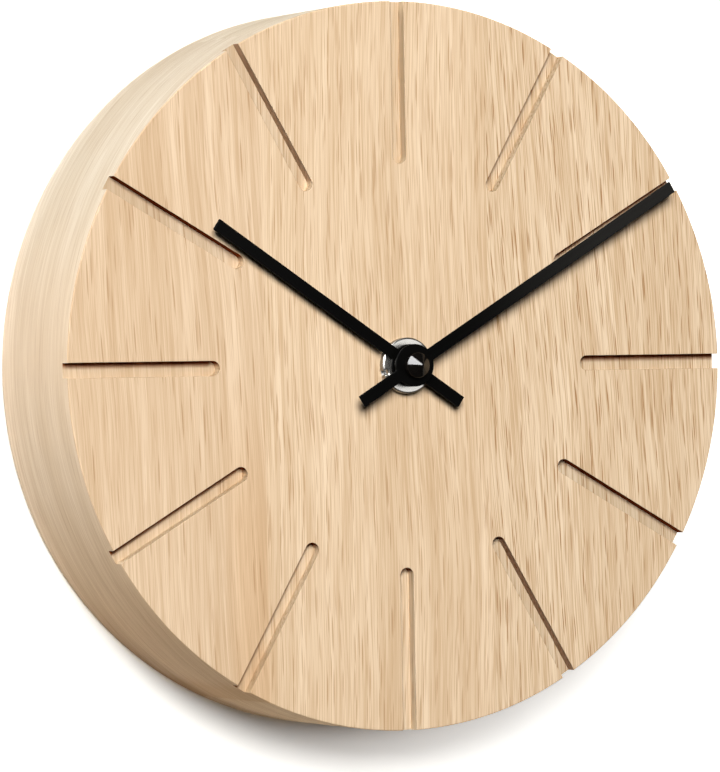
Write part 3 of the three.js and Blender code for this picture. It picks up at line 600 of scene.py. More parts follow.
def oak(name, cut=False):
    """Oak with rings, streaks and pores that run through the solid.

    cut gives the wood inside the slots and the holes, with painted shade on its sides away from the
    key light.
    """
    g = Graph(name)
    x, depth, height = g.millimetres()
    sideways = g.step(g.math("ABSOLUTE", g.facing()["Y"]), 0.75, 0.15)

    def by_side(on_face, on_rim):
        """A number that changes from the flat faces to the rim."""
        return on_face if cut else g.add(g.times(sideways, on_rim - on_face), on_face)

    # ring counts across the rings and along_ring along them. The third direction is the upright one.
    tilt_cos = by_side(math.cos(FACE_RING_TILT), math.cos(RIM_RING_TILT))
    tilt_sin = by_side(math.sin(FACE_RING_TILT), math.sin(RIM_RING_TILT))
    lean = by_stave(g, x, STAVE_LEAN)
    slow = g.point(g.times(x, 0.02), g.times(depth, 0.03), g.times(height, 0.012))
    drift = g.noise(slow, detail=1.0)
    across = g.add(g.add(x, g.times(height, lean)), g.times(drift, WANDER))
    ring = g.add(g.times(across, tilt_cos), g.times(depth, tilt_sin))
    ring = g.add(ring, by_stave(g, x, STAVE_SHIFT))
    along_ring = g.math("SUBTRACT", g.times(depth, tilt_cos), g.times(across, tilt_sin))
    along_ring = g.times(along_ring, by_side(1.0, RIM_LINE_BREAKS))

    def cells(wide, long, upright):
        """The place in cells of a size in millimetres: across the rings, along them, and upright."""
        return g.point(
            g.times(ring, 1 / wide), g.times(along_ring, 1 / long), g.times(height, 1 / upright)
        )

    def pores(wide, upright, edge, core):
        """Dark spots, one in each cell, that fade from core to edge, in parts of a cell."""
        where = cells(wide, PORE_ALONG_RING, upright)
        spots = g.node("ShaderNodeTexVoronoi", {"Vector": where, "Scale": 1.0})
        return g.step(spots.outputs["Distance"], edge, core)

    broad = g.noise(cells(6.0, 30.0, 160.0), detail=2.0)
    streaks = g.noise(cells(1.1, 9.0, 60.0), detail=3.0, rough=0.6)
    fibres = g.noise(cells(0.20, 1.2, 20.0), detail=1.0)
    tone = g.add(g.times(broad, 0.45), g.times(streaks, 0.55))
    tone = g.add(g.times(g.add(tone, -0.5), by_side(1.0, RIM_CONTRAST)), 0.5)
    colour = g.blend(g.step(tone, 0.31, 0.69), OAK_DARK, OAK_LIGHT)
    band = g.step(g.math("ABSOLUTE", g.add(across, -BAND_ACROSS)), 9.0, 3.0)
    colour = g.tinted(g.times(band, g.step(height, 5.0, -45.0)), colour, BAND_TINT)
    fibrous = g.times(g.step(fibres, 0.42, 0.64), by_stave(g, x, STAVE_FIBRES))
    colour = g.blend(fibrous, colour, OAK_FIBRE)

    # Short pores crowd into the early wood of each year.
    year = g.math("SINE", g.add(g.times(ring, 2 * math.pi / YEAR_WIDTH), g.times(broad, 9.0)))
    early = g.step(year, -0.5, 0.7, 0.25, 1.0)
    short = g.times(g.times(pores(0.40, 13.0, 0.37, 0.20), early), by_stave(g, x, STAVE_PORES))
    long = g.times(pores(1.15, 24.0, 0.25, 0.12), LONG_PORE_STRENGTH)
    dark = g.times(g.math("MAXIMUM", short, long), by_side(1.0, RIM_PORE_STRENGTH))
    colour = g.blend(g.times(dark, PORE_DARKNESS), colour, OAK_PORE)

    tint = g.point(*[by_stave(g, x, channel) for channel in zip(*STAVE_TINT)])
    colour = g.blend(1.0, colour, tint, "MULTIPLY")
    # Inside the slots: painted shade and shadow. On the rim: painted light and shade.
    if cut:
        colour = slot_with_painted_shade(g, x, depth, height, sideways, colour)
    else:
        colour = rim_with_painted_light(g, depth, sideways, colour)

    relief = g.add(g.times(fibres, 0.35), g.times(dark, -0.9))
    g.set(Base_Color=colour, Roughness=g.step(streaks, 0.3, 0.7, 0.66, 0.56))
    g.set(Normal=g.bump(relief, 0.00006, 0.55), Specular_IOR_Level=0.0 if cut else 0.02)
    return g.material


# ---- Other materials ----


def speckle(g, scale):
    """Fine noise on the object's own coordinates. A scale of 1 gives detail about 1 mm wide."""
    x, depth, height = g.millimetres()
    return g.noise(g.point(x, depth, height), detail=3.0, rough=0.6, scale=scale)


def paint(name, colour, roughness, grit=3.0, relief=0.00001, uneven=0.05, specular=0.5):
    """Lacquer or moulded plastic: a colour with slight unevenness and a fine skin."""
    g = Graph(name)
    soft = speckle(g, 0.15)
    fine = speckle(g, grit)
    darker = [c * 0.8 for c in colour]
    lighter = [c * 1.25 for c in colour]
    g.set(Base_Color=g.blend(g.step(soft, 0.3, 0.7), darker, lighter))
    g.set(Roughness=g.step(fine, 0.3, 0.7, roughness - uneven, roughness + uneven))
    g.set(Normal=g.bump(fine, relief, 0.5), Specular_IOR_Level=specular)
    return g.material


def hand_lacquer(name, inner, outer):
    """Black lacquer with fine speckle. Its brightness goes from inner to outer along the hand: a
    painted sheen.
    """
    g = Graph(name)
    grit = speckle(g, 4.0)
    # Painted sheen: brighter towards the outer end.
    sheen_along_hand = g.step(g.from_axis(), 10.0, 70.0, inner, outer)
    grey = g.times(sheen_along_hand, g.step(grit, 0.3, 0.7, 0.9, 1.1))
    g.set(Base_Color=g.point(grey, g.times(grey, 0.95), g.times(grey, 0.88)))
    g.set(Roughness=g.step(grit, 0.3, 0.7, 0.38, 0.46), Specular_IOR_Level=0.02)
    g.set(Normal=g.bump(grit, 0.000004, 0.5))
    return g.material


def metal(name, colour, roughness, brushed=(0.4, 6.0, 0.4)):
    """Bare or plated metal with fine marks. They are shortest where brushed is largest.

    brushed has one number for each of x, depth and height.
    """
    g = Graph(name)
    where = g.point(*[g.times(along, by) for along, by in zip(g.millimetres(), brushed)])
    marks = g.noise(where, detail=3.0, rough=0.65, scale=3.0)
    cloud = speckle(g, 0.25)
    worn = [c * 0.88 for c in colour]
    g.set(Base_Color=g.blend(g.step(cloud, 0.35, 0.7), colour, worn), Metallic=1.0)
    g.set(Roughness=g.step(marks, 0.25, 0.75, roughness * 0.75, roughness * 1.3))
    g.set(Normal=g.bump(marks, 0.000006, 0.5))
    return g.material


def turned_metal(name, colour, roughness):
    """Plated metal whose front keeps the fine rings of turning. Its edge is painted dark: a painted
    dark reflection.
    """
    g = Graph(name)
    rings = g.noise(g.point(g.times(g.from_axis(), 9.0), 0.0, 0.0), detail=3.0, rough=0.7)
    cloud = speckle(g, 0.6)
    duller = [c * 0.86 for c in colour]
    # Painted dark reflection on the edge.
    edge = g.step(g.math("ABSOLUTE", g.facing()["Y"]), 0.99, 0.9)
    dark = [c * 0.34 for c in colour]
    g.set(Base_Color=g.blend(edge, g.blend(cloud, duller, colour), dark), Metallic=1.0)
    g.set(Roughness=g.step(rings, 0.3, 0.7, roughness * 0.7, roughness * 1.4))
    g.set(Normal=g.bump(rings, 0.000012, 0.6))
    return g.material


def sleeve(name):
    """The battery's film, plain and dark."""
    g = Graph(name)
    wrinkle = speckle(g, 0.8)
    g.set(Base_Color=g.blend(wrinkle, (0.020, 0.026, 0.034), (0.030, 0.038, 0.050)))
    g.set(Roughness=g.step(wrinkle, 0.3, 0.7, 0.24, 0.34))
    g.set(Normal=g.bump(wrinkle, 0.00002, 0.4), Coat_Weight=0.4, Coat_Roughness=0.12)
    return g.material


WIRE_PITCH = 0.12


def wound_wire(name):
    """Enamelled copper wire laid turn beside turn along x."""
    g = Graph(name)
    turns = g.math("SINE", g.times(g.millimetres()[0], 2 * math.pi / WIRE_PITCH))
    # Darker in the grooves between turns and lighter on their crowns: painted shade and light that
    # follow the relief.
    g.set(Base_Color=g.blend(g.step(turns, -1, 1), (0.36, 0.12, 0.05), (0.66, 0.30, 0.15)))
    g.set(Metallic=0.85, Roughness=g.step(speckle(g, 1.0), 0.3, 0.7, 0.28, 0.4))
    g.set(Normal=g.bump(turns, 0.00002, 0.6))
    return g.material


OAK = oak("oak")
OAK_CUT = oak("oak_cut", cut=True)
# The minute hand's painted sheen brightens strongly towards its tip.
HAND_BLACK = hand_lacquer("hand_black", 0.0015, 0.0030)
MINUTE_BLACK = hand_lacquer("minute_hand_black", 0.0015, 0.0175)
CAP_BLACK = paint("cap_black", (0.0040, 0.0034, 0.0030), 0.11, 2.0, 0.000001, 0.03, 0.14)
CHROME = turned_metal("chrome", (0.84, 0.815, 0.765), 0.24)
BRASS = metal("brass", (0.72, 0.52, 0.22), 0.28)
NICKEL = metal("contact_nickel", (0.66, 0.63, 0.58), 0.26, (4.0, 0.5, 0.5))
STEEL = metal("steel", (0.56, 0.57, 0.58), 0.34, (0.5, 4.0, 4.0))
RUBBER = paint("rubber", (0.014, 0.014, 0.015), 0.8, 2.0, 0.00003)
CASE_PLASTIC = paint("case_plastic", (0.016, 0.017, 0.019), 0.5, 2.6, 0.00003)
GEAR_PLASTIC = paint("gear_plastic", (0.72, 0.69, 0.60), 0.42)
BOBBIN_PLASTIC = paint("bobbin_plastic", (0.62, 0.58, 0.46), 0.46)
MAGNET = metal("magnet", (0.16, 0.16, 0.17), 0.5, (3.0, 3.0, 3.0))
COPPER = wound_wire("copper")
BOARD_GREEN = paint("board_green", (0.022, 0.085, 0.038), 0.4, 1.2)
EPOXY = paint("epoxy", (0.008, 0.008, 0.008), 0.22, 0.7, 0.00002)
CELL_SLEEVE = sleeve("cell_sleeve")

BY_SLOT = {
    "oak": OAK,
    "hand_black": HAND_BLACK,
    "cap_black": CAP_BLACK,
    "chrome": CHROME,
    "brass": BRASS,
    "contact_nickel": NICKEL,
    "steel": STEEL,
    "rubber": RUBBER,
    "case_plastic": CASE_PLASTIC,
    "gear_plastic": GEAR_PLASTIC,
    "bobbin_plastic": BOBBIN_PLASTIC,
    "magnet": MAGNET,
    "copper": COPPER,
    "board_green": BOARD_GREEN,
    "epoxy": EPOXY,
    "cell_sleeve": CELL_SLEEVE,
}


def paint_cad_nodes():
    """Gives every CAD node the material of its slot in the record."""
    for entry in frame["record"]["subparts"]:
        node = frame["nodes"][entry["node"]]
        node.data.materials.clear()
        node.data.materials.append(BY_SLOT[entry["material_slot"]])


# ---- The oak body ----

ARC_STEPS = 20
END_STEPS = 12
MOUTH_STEPS = 3
MOUTH_LENGTH = 1.5
# Its two materials, by their place in the mesh's list.
UNCUT, CUT = 0, 1


def hanger_box(half_size):
    half_width, half_height = half_size
    return rounded_box(
        -half_width, HANGER_Y - half_height, half_width, HANGER_Y + half_height, PLATE_CORNER
    )


def dial_outline(rim_inset, slot_inset):
    """The dial's outline with its twelve notches. Each point comes with True if it is on a slot."""
    radius = BODY_RADIUS - rim_inset
    half = SLOT_HALF_WIDTH + slot_inset
    gap = math.asin(half / radius)
    pitch = 2 * math.pi / SLOT_COUNT
    outline = []
    for k in range(SLOT_COUNT):
        start, end = k * pitch + gap, (k + 1) * pitch - gap
        for i in range(ARC_STEPS + 1):
            outline.append((polar(radius, start + (end - start) * i / ARC_STEPS), False))
        mouth = math.sqrt(radius**2 - half**2) - MOUTH_LENGTH
        local = [(mouth, -half)]
        for i in range(END_STEPS + 1):
            t = math.pi * (i / END_STEPS - 0.5)
            local.append((SLOT_INNER_CENTRE - half * math.cos(t), half * math.sin(t)))
        local.append((mouth, half))
        outline += [(point, True) for point in turned_outline(local, (k + 1) * pitch)]
    return outline


def front_loops(solid):
    """The loops of the rounded edge round the whole notched outline, from the face down."""
    loops = []
    for k in range(EDGE_STEPS + 1):
        t = math.pi / 2 * k / EDGE_STEPS
        outline = dial_outline(RIM_EDGE * (1 - math.sin(t)), SLOT_EDGE * (1 - math.sin(t)))
        loop = []
        for (x, y), on_slot in outline:
            edge = SLOT_EDGE if on_slot else RIM_EDGE
            height = DIAL - edge * (1 - math.cos(t))
            loop.append(solid.bm.verts.new(solid.place(x, y, height)))
        loops.append(loop)
    return loops


def lay_slot_floors(solid, floor_loop):
    """Gives each slot its floor. Returns the rim below the slots, which is a whole circle."""
    per_slot = len(floor_loop) // SLOT_COUNT
    gap = math.asin(SLOT_HALF_WIDTH / BODY_RADIUS)
    rim = []
    for k in range(SLOT_COUNT):
        arc_end = k * per_slot + ARC_STEPS + 1
        arc = floor_loop[k * per_slot : arc_end]
        around = floor_loop[arc_end : (k + 1) * per_slot]
        next_corner = floor_loop[(k + 1) * per_slot % len(floor_loop)]
        angle = 2 * math.pi * (k + 1) / SLOT_COUNT
        # The floor's outer edge follows the rim.
        turns = [angle + gap * (2 * i / MOUTH_STEPS - 1) for i in range(1, MOUTH_STEPS)]
        mouth = solid.loop([polar(BODY_RADIUS, turn) for turn in turns], DIAL - SLOT_DEPTH)
        solid.polygon([arc[-1], *around, next_corner, *reversed(mouth)], CUT)
        rim += [*arc, *mouth]
    return rim


def wall_to_back(solid, rim):
    """The rim from the floors of the slots to the back's rounded edge. Returns its last loop."""
    loops = [rim]
    back_edge = rounded_steps(0.0, DIAL, BACK_EDGE)[: EDGE_STEPS + 1]
    for step, height in reversed(back_edge):
        scale = (BODY_RADIUS - step) / BODY_RADIUS
        places = [Vector((v.co.x * scale, -height * MM, v.co.z * scale)) for v in rim]
        loops.append([solid.bm.verts.new(place) for place in places])
    solid.walls(loops)
    return loops[-1]


def make_oak_body():
    solid = Solid()
    outline = dial_outline(0.0, 0.0)
    on_slot = [flag for _, flag in outline]
    count = len(outline)
    slots = [CUT if on_slot[i] or on_slot[(i + 1) % count] else UNCUT for i in range(count)]
    front = front_loops(solid)
    solid.walls(front, [UNCUT] * count)
    floor_loop = solid.loop([point for point, _ in outline], DIAL - SLOT_DEPTH)
    solid.band(front[-1], floor_loop, slots)
    back = wall_to_back(solid, lay_slot_floors(solid, floor_loop))

    # The shaft hole, the pocket for the movement, and the hanger's recess.
    pocket = rounded_box(-POCKET_HALF, -POCKET_HALF, POCKET_HALF, POCKET_HALF, POCKET_CORNER, 10)
    recess = hanger_box(RECESS_HALF)
    nail_slot = upright_slot(NAIL_SLOT_HALF, KEYHOLE_Y, KEYHOLE_TOP)
    pilots = [circle(SCREW_HOLE_RADIUS, 24, (0.0, y)) for y in SCREW_HEIGHTS]
    front_half = mirrored(rounded_steps(POCKET_FLOOR, DIAL, SLOT_EDGE))[EDGE_STEPS:]
    hole = solid.shaft(circle(SHAFT_HOLE, 48), [(0.0, POCKET_FLOOR), *front_half], CUT)
    pocket_edge = [(-POCKET_EDGE, 0.0), (-0.3 * POCKET_EDGE, 0.3 * POCKET_EDGE), (0.0, POCKET_EDGE)]
    pocket_walls = solid.shaft(pocket, [*pocket_edge, (0.0, POCKET_FLOOR)])
    recess_edge = [(-RECESS_EDGE, 0.0), (0.0, RECESS_EDGE)]
    recess_walls = solid.shaft(recess, [*recess_edge, (0.0, RECESS_FLOOR)])
    slot_walls = solid.shaft(nail_slot, [(0.0, RECESS_FLOOR), (0.0, NAIL_SLOT_FLOOR)], CUT)
    pilot_walls = [solid.shaft(p, [(0.0, RECESS_FLOOR), (0.0, PILOT_FLOOR)], CUT) for p in pilots]

    solid.cap(front[0], hole[1])
    solid.cap(back, pocket_walls[0], recess_walls[0])
    solid.cap(pocket_walls[1], hole[0])
    solid.cap(recess_walls[1], slot_walls[0], *[walls[0] for walls in pilot_walls])
    for walls in (slot_walls, *pilot_walls):
        solid.cap(walls[1], slot=CUT)
    solid.finish("oak_disc", "clock_body", [OAK, OAK_CUT], "oak_body")


# ---- The hanger plate ----


def make_hanger():
    """The steel plate, with its keyhole and two countersunk screw holes."""
    low, high = PLATE_HEIGHTS
    steps = rounded_steps(low, high, PLATE_EDGE)
    solid = Solid()
    outer = solid.shaft(hanger_box(PLATE_HALF), steps)
    holes = [solid.shaft(keyhole_outline(), mirrored(steps))]
    taper = SINK_RADIUS - PLATE_SCREW_HOLE
    for y in SCREW_HEIGHTS:
        sink = [(0.0, low), (taper, low + SINK_DEPTH), (taper, high)]
        holes.append(solid.shaft(circle(SINK_RADIUS, 32, (0.0, y)), sink))
    cap_ends(solid, outer, holes)
    solid.finish("hanger_plate", "clock_body", [STEEL], "keyhole_plate")


# ---- The hub ----


def make_nut():
    """A thin round nut with two spanner notches and well rounded edges."""
    pitch = 2 * math.pi / NOTCH_COUNT
    gap = math.asin(NOTCH_HALF_WIDTH / NUT_RADIUS)
    floor = NUT_RADIUS - NOTCH_DEPTH
    steps = 44
    outline = []
    for k in range(NOTCH_COUNT):
        start = NOTCH_ANGLE + k * pitch + gap
        end = NOTCH_ANGLE + (k + 1) * pitch - gap
        outline += [polar(NUT_RADIUS, start + (end - start) * i / steps) for i in range(steps + 1)]
        local = [(floor, -NOTCH_HALF_WIDTH), (floor, NOTCH_HALF_WIDTH)]
        outline += turned_outline(local, NOTCH_ANGLE + (k + 1) * pitch)
    solid = Solid()
    plate(solid, soften(outline, NOTCH_CORNER, 2), NUT_HEIGHTS, NUT_EDGE, [circle(NUT_BORE, 48)])
    nut = solid.finish("dial_nut", "clock_body", [CHROME], "hand_nut")
    # Without this its edge throws a bright patch on the wood.
    nut.visible_diffuse = False


def make_washer():
    solid = Solid()
    plate(solid, circle(WASHER_RADIUS), WASHER_HEIGHTS, WASHER_EDGE, [circle(WASHER_BORE, 48)])
    solid.finish("dial_washer", "clock_body", [STEEL], "nut_washer")


def make_bushing():
    """The threaded tube that comes through the dial, with its thread and its flange."""
    back, flange_front = FLANGE_HEIGHTS
    root = BUSHING_RADIUS - THREAD_DEPTH
    profile = [(BUSHING_BORE, back), (FLANGE_RADIUS, back), (FLANGE_RADIUS, flange_front)]
    profile.append((root, flange_front))
    for i in range(int((BUSHING_FRONT - THREAD_PITCH - THREAD_START) / THREAD_PITCH)):
        profile.append((root, THREAD_START + THREAD_PITCH * i))
        profile.append((BUSHING_RADIUS, THREAD_START + THREAD_PITCH * (i + 0.5)))
    profile.append((BUSHING_RADIUS - 0.3, BUSHING_FRONT - 0.35))
    profile.append((BUSHING_RADIUS - 0.45, BUSHING_FRONT))
    profile.append((BUSHING_BORE, BUSHING_FRONT))
    solid = Solid()
    solid.turn(soften(profile, 0.08, 2), 48, closed=True)
    solid.finish("bushing", "clock_body", [BRASS], "threaded_bushing")


def hand_outline(tip, tail):
    """A bar with square ends that passes over a round boss."""
    half = HAND_HALF_WIDTH
    meet = math.acos(half / BOSS_RADIUS)
    steps = 18
    outline = [(half, -tail)]
    sweep = 2 * meet
    outline += [polar(BOSS_RADIUS, -meet + sweep * i / steps) for i in range(steps + 1)]
    outline += [(half, tip), (-half, tip)]
    outline += [polar(BOSS_RADIUS, math.pi - meet + sweep * i / steps) for i in range(steps + 1)]
    outline.append((-half, -tail))
    return outline


def make_hand(name, node, body, sizes, lacquer):
    outline = soften(hand_outline(sizes["tip"], sizes["tail"]), HAND_CORNER, 2)
    outline = turned_outline(outline, -math.radians(sizes["clockwise"]))
    solid = Solid()
    heights = (sizes["back"], sizes["back"] + HAND_THICKNESS)
    plate(solid, outline, heights, HAND_EDGE, [circle(sizes["bore"], 40)])
    solid.finish(name, body, [lacquer], node)


def cone_point(t):
    return (CAP_RADIUS * (1 - t), CAP_SHOULDER + (CAP_TIP - CAP_SHOULDER) * t)


def make_cap():
    """The pointed cap nut that holds the minute hand."""
    profile = [
        (0, CAP_BACK + CAP_BORE_DEPTH),
        (CAP_BORE, CAP_BACK + CAP_BORE_DEPTH),
        (CAP_BORE, CAP_BACK),
        (CAP_RADIUS, CAP_BACK),
        (CAP_RADIUS, CAP_SHOULDER),
    ]
    # Points along the cone keep its side straight under smooth shading.
    profile += [cone_point(t) for t in (0.14, 0.5, 0.86)]
    profile.append((0, CAP_TIP))
    solid = Solid()
    solid.turn(soften(profile, 0.16, 3, closed=False), 96)
    solid.finish("pointed_cap", "minute_works", [CAP_BLACK], "cap_nut")


# ---- The movement and its battery ----


def well(solid, sizes):
    """The walls of an opening in the back of the case, with a chamfered edge."""
    outline = rounded_box(
        sizes["left"], sizes["bottom"], sizes["right"], sizes["top"], sizes["corner"]
    )
    back = CASE_HEIGHTS[0]
    edge = [(-WELL_EDGE, back), (0.0, back + WELL_EDGE)]
    return solid.shaft(outline, [*edge, (0.0, sizes["floor"])])


def make_case():
    low, high = CASE_HEIGHTS
    solid = Solid()
    outline = rounded_box(-CASE_HALF, -CASE_HALF, CASE_HALF, CASE_HALF, CASE_CORNER, 10)
    outer = solid.shaft(outline, rounded_steps(low, high, CASE_EDGE))
    works = well(solid, WORKS)
    bay = well(solid, BAY)
    hole = solid.shaft(circle(CASE_BORE, 40), [(0.0, WORKS["floor"]), (0.0, high)])
    solid.cap(outer[0], works[0], bay[0])
    solid.cap(outer[1], hole[1])
    solid.cap(works[1], hole[0])
    solid.cap(bay[1])
    solid.finish("quartz_case", "clock_body", [CASE_PLASTIC], "movement_case")


def make_cover():
    outline = rounded_box(
        WORKS["left"] + COVER_GAP,
        WORKS["bottom"] + COVER_GAP,
        WORKS["right"] - COVER_GAP,
        WORKS["top"] - COVER_GAP,
        COVER_CORNER,
    )
    solid = Solid()
    plate(solid, outline, COVER_HEIGHTS, COVER_EDGE, [circle(COVER_BORE, 24, KNOB_CENTRE)])
    solid.finish("case_lid", "clock_body", [CASE_PLASTIC], "rear_cover")


def make_knob():
    """The fluted setting knob, dished at the back and with a socket for its pinion in front."""
    outline = []
    pitch = 2 * math.pi / KNOB_FLUTES
    for i in range(KNOB_FLUTES):
        outline.append(polar(KNOB_RADIUS - KNOB_FLUTE_DEPTH, i * pitch))
        outline.append(polar(KNOB_RADIUS, (i + 0.3) * pitch))
        outline.append(polar(KNOB_RADIUS, (i + 0.7) * pitch))
    outline = [(x + KNOB_CENTRE[0], y + KNOB_CENTRE[1]) for x, y in soften(outline, 0.3, 2)]
    low, high = KNOB_HEIGHTS
    solid = Solid()
    outer = solid.shaft(outline, rounded_steps(low, high, KNOB_EDGE))
    dish_steps = [(-0.2, low), (0.0, low + 0.1), (0.3, low + 0.5)]
    dish = solid.shaft(circle(KNOB_DISH, 40, KNOB_CENTRE), dish_steps)
    socket = solid.shaft(circle(KNOB_BORE, 20, KNOB_CENTRE), [(0.0, low + 0.9), (0.0, high)])
    solid.cap(outer[0], dish[0])
    solid.cap(dish[1])
    solid.cap(outer[1], socket[1])
    solid.cap(socket[0])
    solid.finish("setting_dial", "setting_works", [CASE_PLASTIC], "setting_knob")


def make_battery():
    """The cell, with a shallow dish round its button and a deeper one in its flat end."""
    left, right = CELL_ENDS
    cell = [
        (0, left + 0.1),
        (4.2, left + 0.1),
        (4.6, left),
        (CELL_RADIUS - 0.2, left),
        (CELL_RADIUS, left + CELL_CRIMP),
        (CELL_RADIUS, right - CELL_CRIMP),
        (CELL_RADIUS - CELL_CRIMP, right),
        (5.2, right),
        (4.9, right - 0.35),
        (0, right - 0.35),
    ]
    solid = Solid(on_cell)
    solid.turn(soften(cell, 0.3, 3, closed=False), 64)
    solid.finish("aa_cell", "battery", [CELL_SLEEVE], "battery_cell")
    button = [
        (0, BUTTON_LEFT),
        (BUTTON_RADIUS - 0.1, BUTTON_LEFT),
        (BUTTON_RADIUS, left - 0.05),
        (0, left - 0.05),
    ]
    solid = Solid(on_cell)
    solid.turn(soften(button, 0.25, 3, closed=False), 48)
    solid.finish("aa_button", "battery", [NICKEL], "battery_button")


# ---- The stage: walls, floor, lights and camera ----

# The walls have the same centre as the clock. Sizes in millimetres, as before.
WALL_RADIUS = 1500.0
SEEN_WALL_HOLE = 88.0
SEEN_WALL_BEHIND = 0.6
BOUNCE_WALL_HOLE = 92.5
BOUNCE_WALL_BEHIND = 1.2
# The seen wall's own light, and the distance from the wood over which it comes in. Further out the
# wall reflects less of the other lights, so that the clock's shadow ends softly.
WALL_GLOW = 0.80
GLOW_REACH = 9.0
SHADOW_END = (12.0, 42.0)
# From here on in metres.
FLOOR_HALF = 1.5
FLOOR_DROP = 0.75
FLOOR_FORWARD = 0.3


def stage_object(name, bm, material):
    mesh = bpy.data.meshes.new(name)
    bm.to_mesh(mesh)
    bm.free()
    mesh.materials.append(material)
    made = bpy.data.objects.new(name, mesh)
    bpy.context.scene.collection.objects.link(made)
    return made


def make_wall(name, behind, hole_radius, material):
    """A large wall with a hole behind the clock, so that light from behind reaches its back."""
    bm = bmesh.new()
    hole, outer = [
        [bm.verts.new(Vector((x, behind, y)) * MM) for x, y in circle(radius)]
        for radius in (hole_radius, WALL_RADIUS)
    ]
    for i in range(len(hole)):
        j = (i + 1) % len(hole)
        face = bm.faces.new((hole[i], hole[j], outer[j], outer[i]))
        face.normal_update()
        if face.normal.y > 0:
            face.normal_flip()
    return stage_object(name, bm, material)


def seen_wall_material():
    """A white wall with a light of its own, which hides nothing from a viewer behind it.

    The light keeps the shadow on it faint. Close to the clock it is weaker, so that the shadow is
    deep where the two touch.
    """
    g = Graph("wall_seen")
    gap = g.math("MAXIMUM", g.add(g.from_axis(), -BODY_RADIUS), 0.0)
    near = g.math("EXPONENT", g.times(gap, -1 / GLOW_REACH))
    grey = g.step(gap, *SHADOW_END, 0.95, 0.38)
    g.set(Base_Color=g.point(grey, grey, g.times(grey, 0.97)), Roughness=1.0, Specular_IOR_Level=0.0)
    glow = g.add(g.times(near, -WALL_GLOW), WALL_GLOW)
    g.set(Emission_Color=(1.0, 1.0, 0.99), Emission_Strength=glow)
    from_behind = g.node("ShaderNodeNewGeometry").outputs["Backfacing"]
    clear = g.node("ShaderNodeBsdfTransparent").outputs[0]
    mix = g.node("ShaderNodeMixShader", {0: from_behind, 1: g.shader.outputs[0], 2: clear})
    g.tree.links.new(mix.outputs[0], g.output.inputs["Surface"])
    return g.material


def make_walls():
    """One wall for the camera, and a plain one behind it that sends light back to the clock."""
    seen = make_wall("wall_seen", SEEN_WALL_BEHIND, SEEN_WALL_HOLE, seen_wall_material())
    seen.visible_diffuse = False
    seen.visible_glossy = False
    seen.visible_shadow = False

    g = Graph("wall_bounce")
    g.set(Base_Color=(0.66, 0.60, 0.52), Roughness=1.0, Specular_IOR_Level=0.0)
    bounce = make_wall("wall_bounce", BOUNCE_WALL_BEHIND, BOUNCE_WALL_HOLE, g.material)
    bounce.visible_camera = False


def make_floor():
    """A plain pale floor, well below the clock. It sends no light to it."""
    g = Graph("floor")
    tone = g.noise(g.node("ShaderNodeTexCoord").outputs["Object"], detail=2.0, scale=2.0)
    g.set(Base_Color=g.blend(tone, (0.38, 0.38, 0.375), (0.42, 0.42, 0.415)), Roughness=0.9)
    g.set(Emission_Color=(1.0, 0.996, 0.99), Emission_Strength=0.62, Specular_IOR_Level=0.0)
    bm = bmesh.new()
    bmesh.ops.create_grid(bm, x_segments=8, y_segments=8, size=FLOOR_HALF)
    floor = stage_object("floor", bm, g.material)
    floor.location = (0.0, -FLOOR_FORWARD, -FLOOR_DROP)
    floor.visible_diffuse = False
    floor.visible_glossy = False


def make_light(name, direction, distance, size, power, colour=(1.0, 1.0, 1.0)):
    """A rectangular softbox that faces the clock from a direction."""
    data = bpy.data.lights.new(name, "AREA")
    data.shape = "RECTANGLE"
    data.size, data.size_y = size
    data.energy = power
    data.color = colour
    light = bpy.data.objects.new(name, data)
    towards = Vector(direction).normalized()
    light.location = towards * distance
    light.rotation_euler = (-towards).to_track_quat("-Z", "Y").to_euler()
    bpy.context.scene.collection.objects.link(light)
    return light


def make_lights():
    make_light("key", KEY_DIRECTION, 1.6, (0.55, 0.55), 31.0, (1.0, 0.99, 0.975))

    # These strips lie between the wall and the plane of the face, so they light the rim alone.
    side, below = (0.03, 0.9), (0.03, 0.5)
    make_light("left_strip", (-0.857, -0.016, 0.515), 1.3, side, 6.7, (0.93, 0.98, 1.0))
    low = make_light("low_strip", (0.60, -0.03, -0.80), 0.7, below, 1.3, (0.96, 0.98, 1.0))
    right = make_light("right_strip", (0.93, -0.016, 0.35), 1.3, side, 4.5, (1.0, 0.97, 0.93))
    low.visible_glossy = False
    right.visible_glossy = False

    # These cards are seen only in the gloss of the metal and the lacquer.
    left_card = make_light("left_card", (-0.64, -0.50, 0.58), 1.4, (0.6, 1.5), 170.0)
    right_card = make_light("right_card", (0.447, -0.895, 0.0), 1.6, (1.2, 1.2), 4.3)
    left_card.visible_diffuse = False
    right_card.visible_diffuse = False

    # This one shines on the back of the clock, through the holes in the walls.
    make_light("back_fill", (-0.45, 0.80, 0.42), 1.8, (1.2, 1.2), 30.0)


# The shadows are deep, so the world gives almost no light, though it looks white to the camera.
WORLD_LIGHT = 0.002
WORLD_IN_REFLECTIONS = 0.03
WORLD_SEEN = 1.0


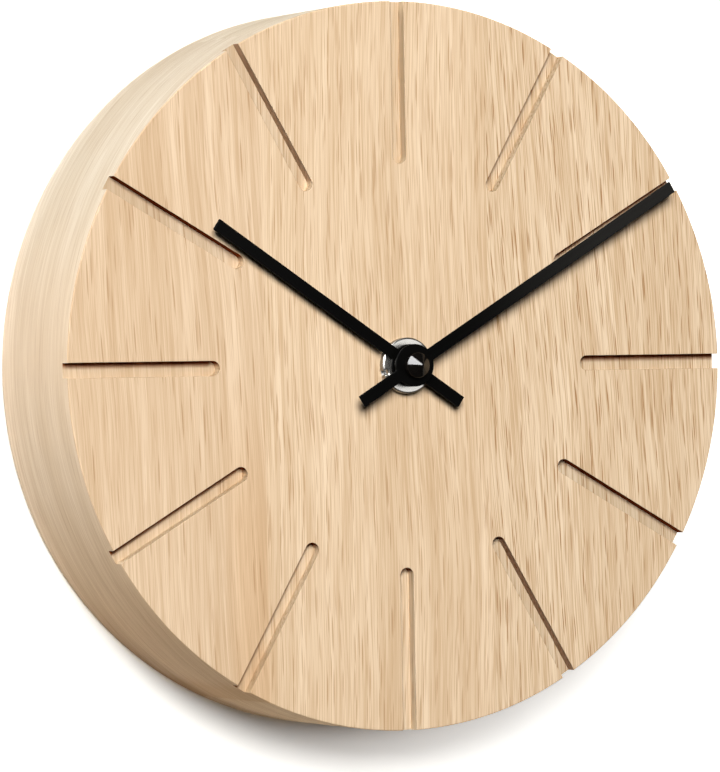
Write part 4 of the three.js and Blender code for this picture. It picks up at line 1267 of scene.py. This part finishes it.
def make_world():
    world = bpy.data.worlds.new("studio")
    bpy.context.scene.world = world
    world.use_nodes = True
    tree = world.node_tree
    tree.nodes.clear()
    rays = tree.nodes.new("ShaderNodeLightPath")

    def white(strength):
        made = tree.nodes.new("ShaderNodeBackground")
        made.inputs["Color"].default_value = (1.0, 1.0, 1.0, 1.0)
        made.inputs["Strength"].default_value = strength
        return made.outputs[0]

    last = white(WORLD_LIGHT)
    for ray, strength in (("Is Glossy Ray", WORLD_IN_REFLECTIONS), ("Is Camera Ray", WORLD_SEEN)):
        mix = tree.nodes.new("ShaderNodeMixShader")
        tree.links.new(rays.outputs[ray], mix.inputs[0])
        tree.links.new(last, mix.inputs[1])
        tree.links.new(white(strength), mix.inputs[2])
        last = mix.outputs[0]
    out = tree.nodes.new("ShaderNodeOutputWorld")
    tree.links.new(last, out.inputs["Surface"])


# The camera stands to the left of the clock, level with it, and leans a little to one side.
CAMERA_FROM_DIAL = (-0.56214, -1.10136, -0.00754)
CAMERA_FORWARD = (0.446838, 0.894612, 0.002192)
CAMERA_UP = (0.015426, -0.010155, 0.999830)
CAMERA_LENS = 233.74


def make_camera():
    data = bpy.data.cameras.new("camera")
    data.lens = CAMERA_LENS
    data.sensor_width = 36.0
    camera = bpy.data.objects.new("camera", data)
    forward = Vector(CAMERA_FORWARD).normalized()
    right = forward.cross(Vector(CAMERA_UP)).normalized()
    up = right.cross(forward)
    turn = Matrix((right, up, -forward)).transposed()
    place = Vector((0.0, -DIAL * MM, 0.0)) + Vector(CAMERA_FROM_DIAL)
    camera.matrix_world = Matrix.Translation(place) @ turn.to_4x4()
    bpy.context.scene.collection.objects.link(camera)
    bpy.context.scene.camera = camera
    bpy.context.scene.view_settings.view_transform = "Standard"


make_camera()
paint_cad_nodes()
make_oak_body()
make_hanger()
make_nut()
make_washer()
make_bushing()
make_hand("hand_hours", "hour_hand", "hour_works", HOUR_HAND, HAND_BLACK)
make_hand("hand_minutes", "minute_hand", "minute_works", MINUTE_HAND, MINUTE_BLACK)
make_cap()
make_case()
make_cover()
make_knob()
make_battery()
make_walls()
make_floor()
make_lights()
make_world()
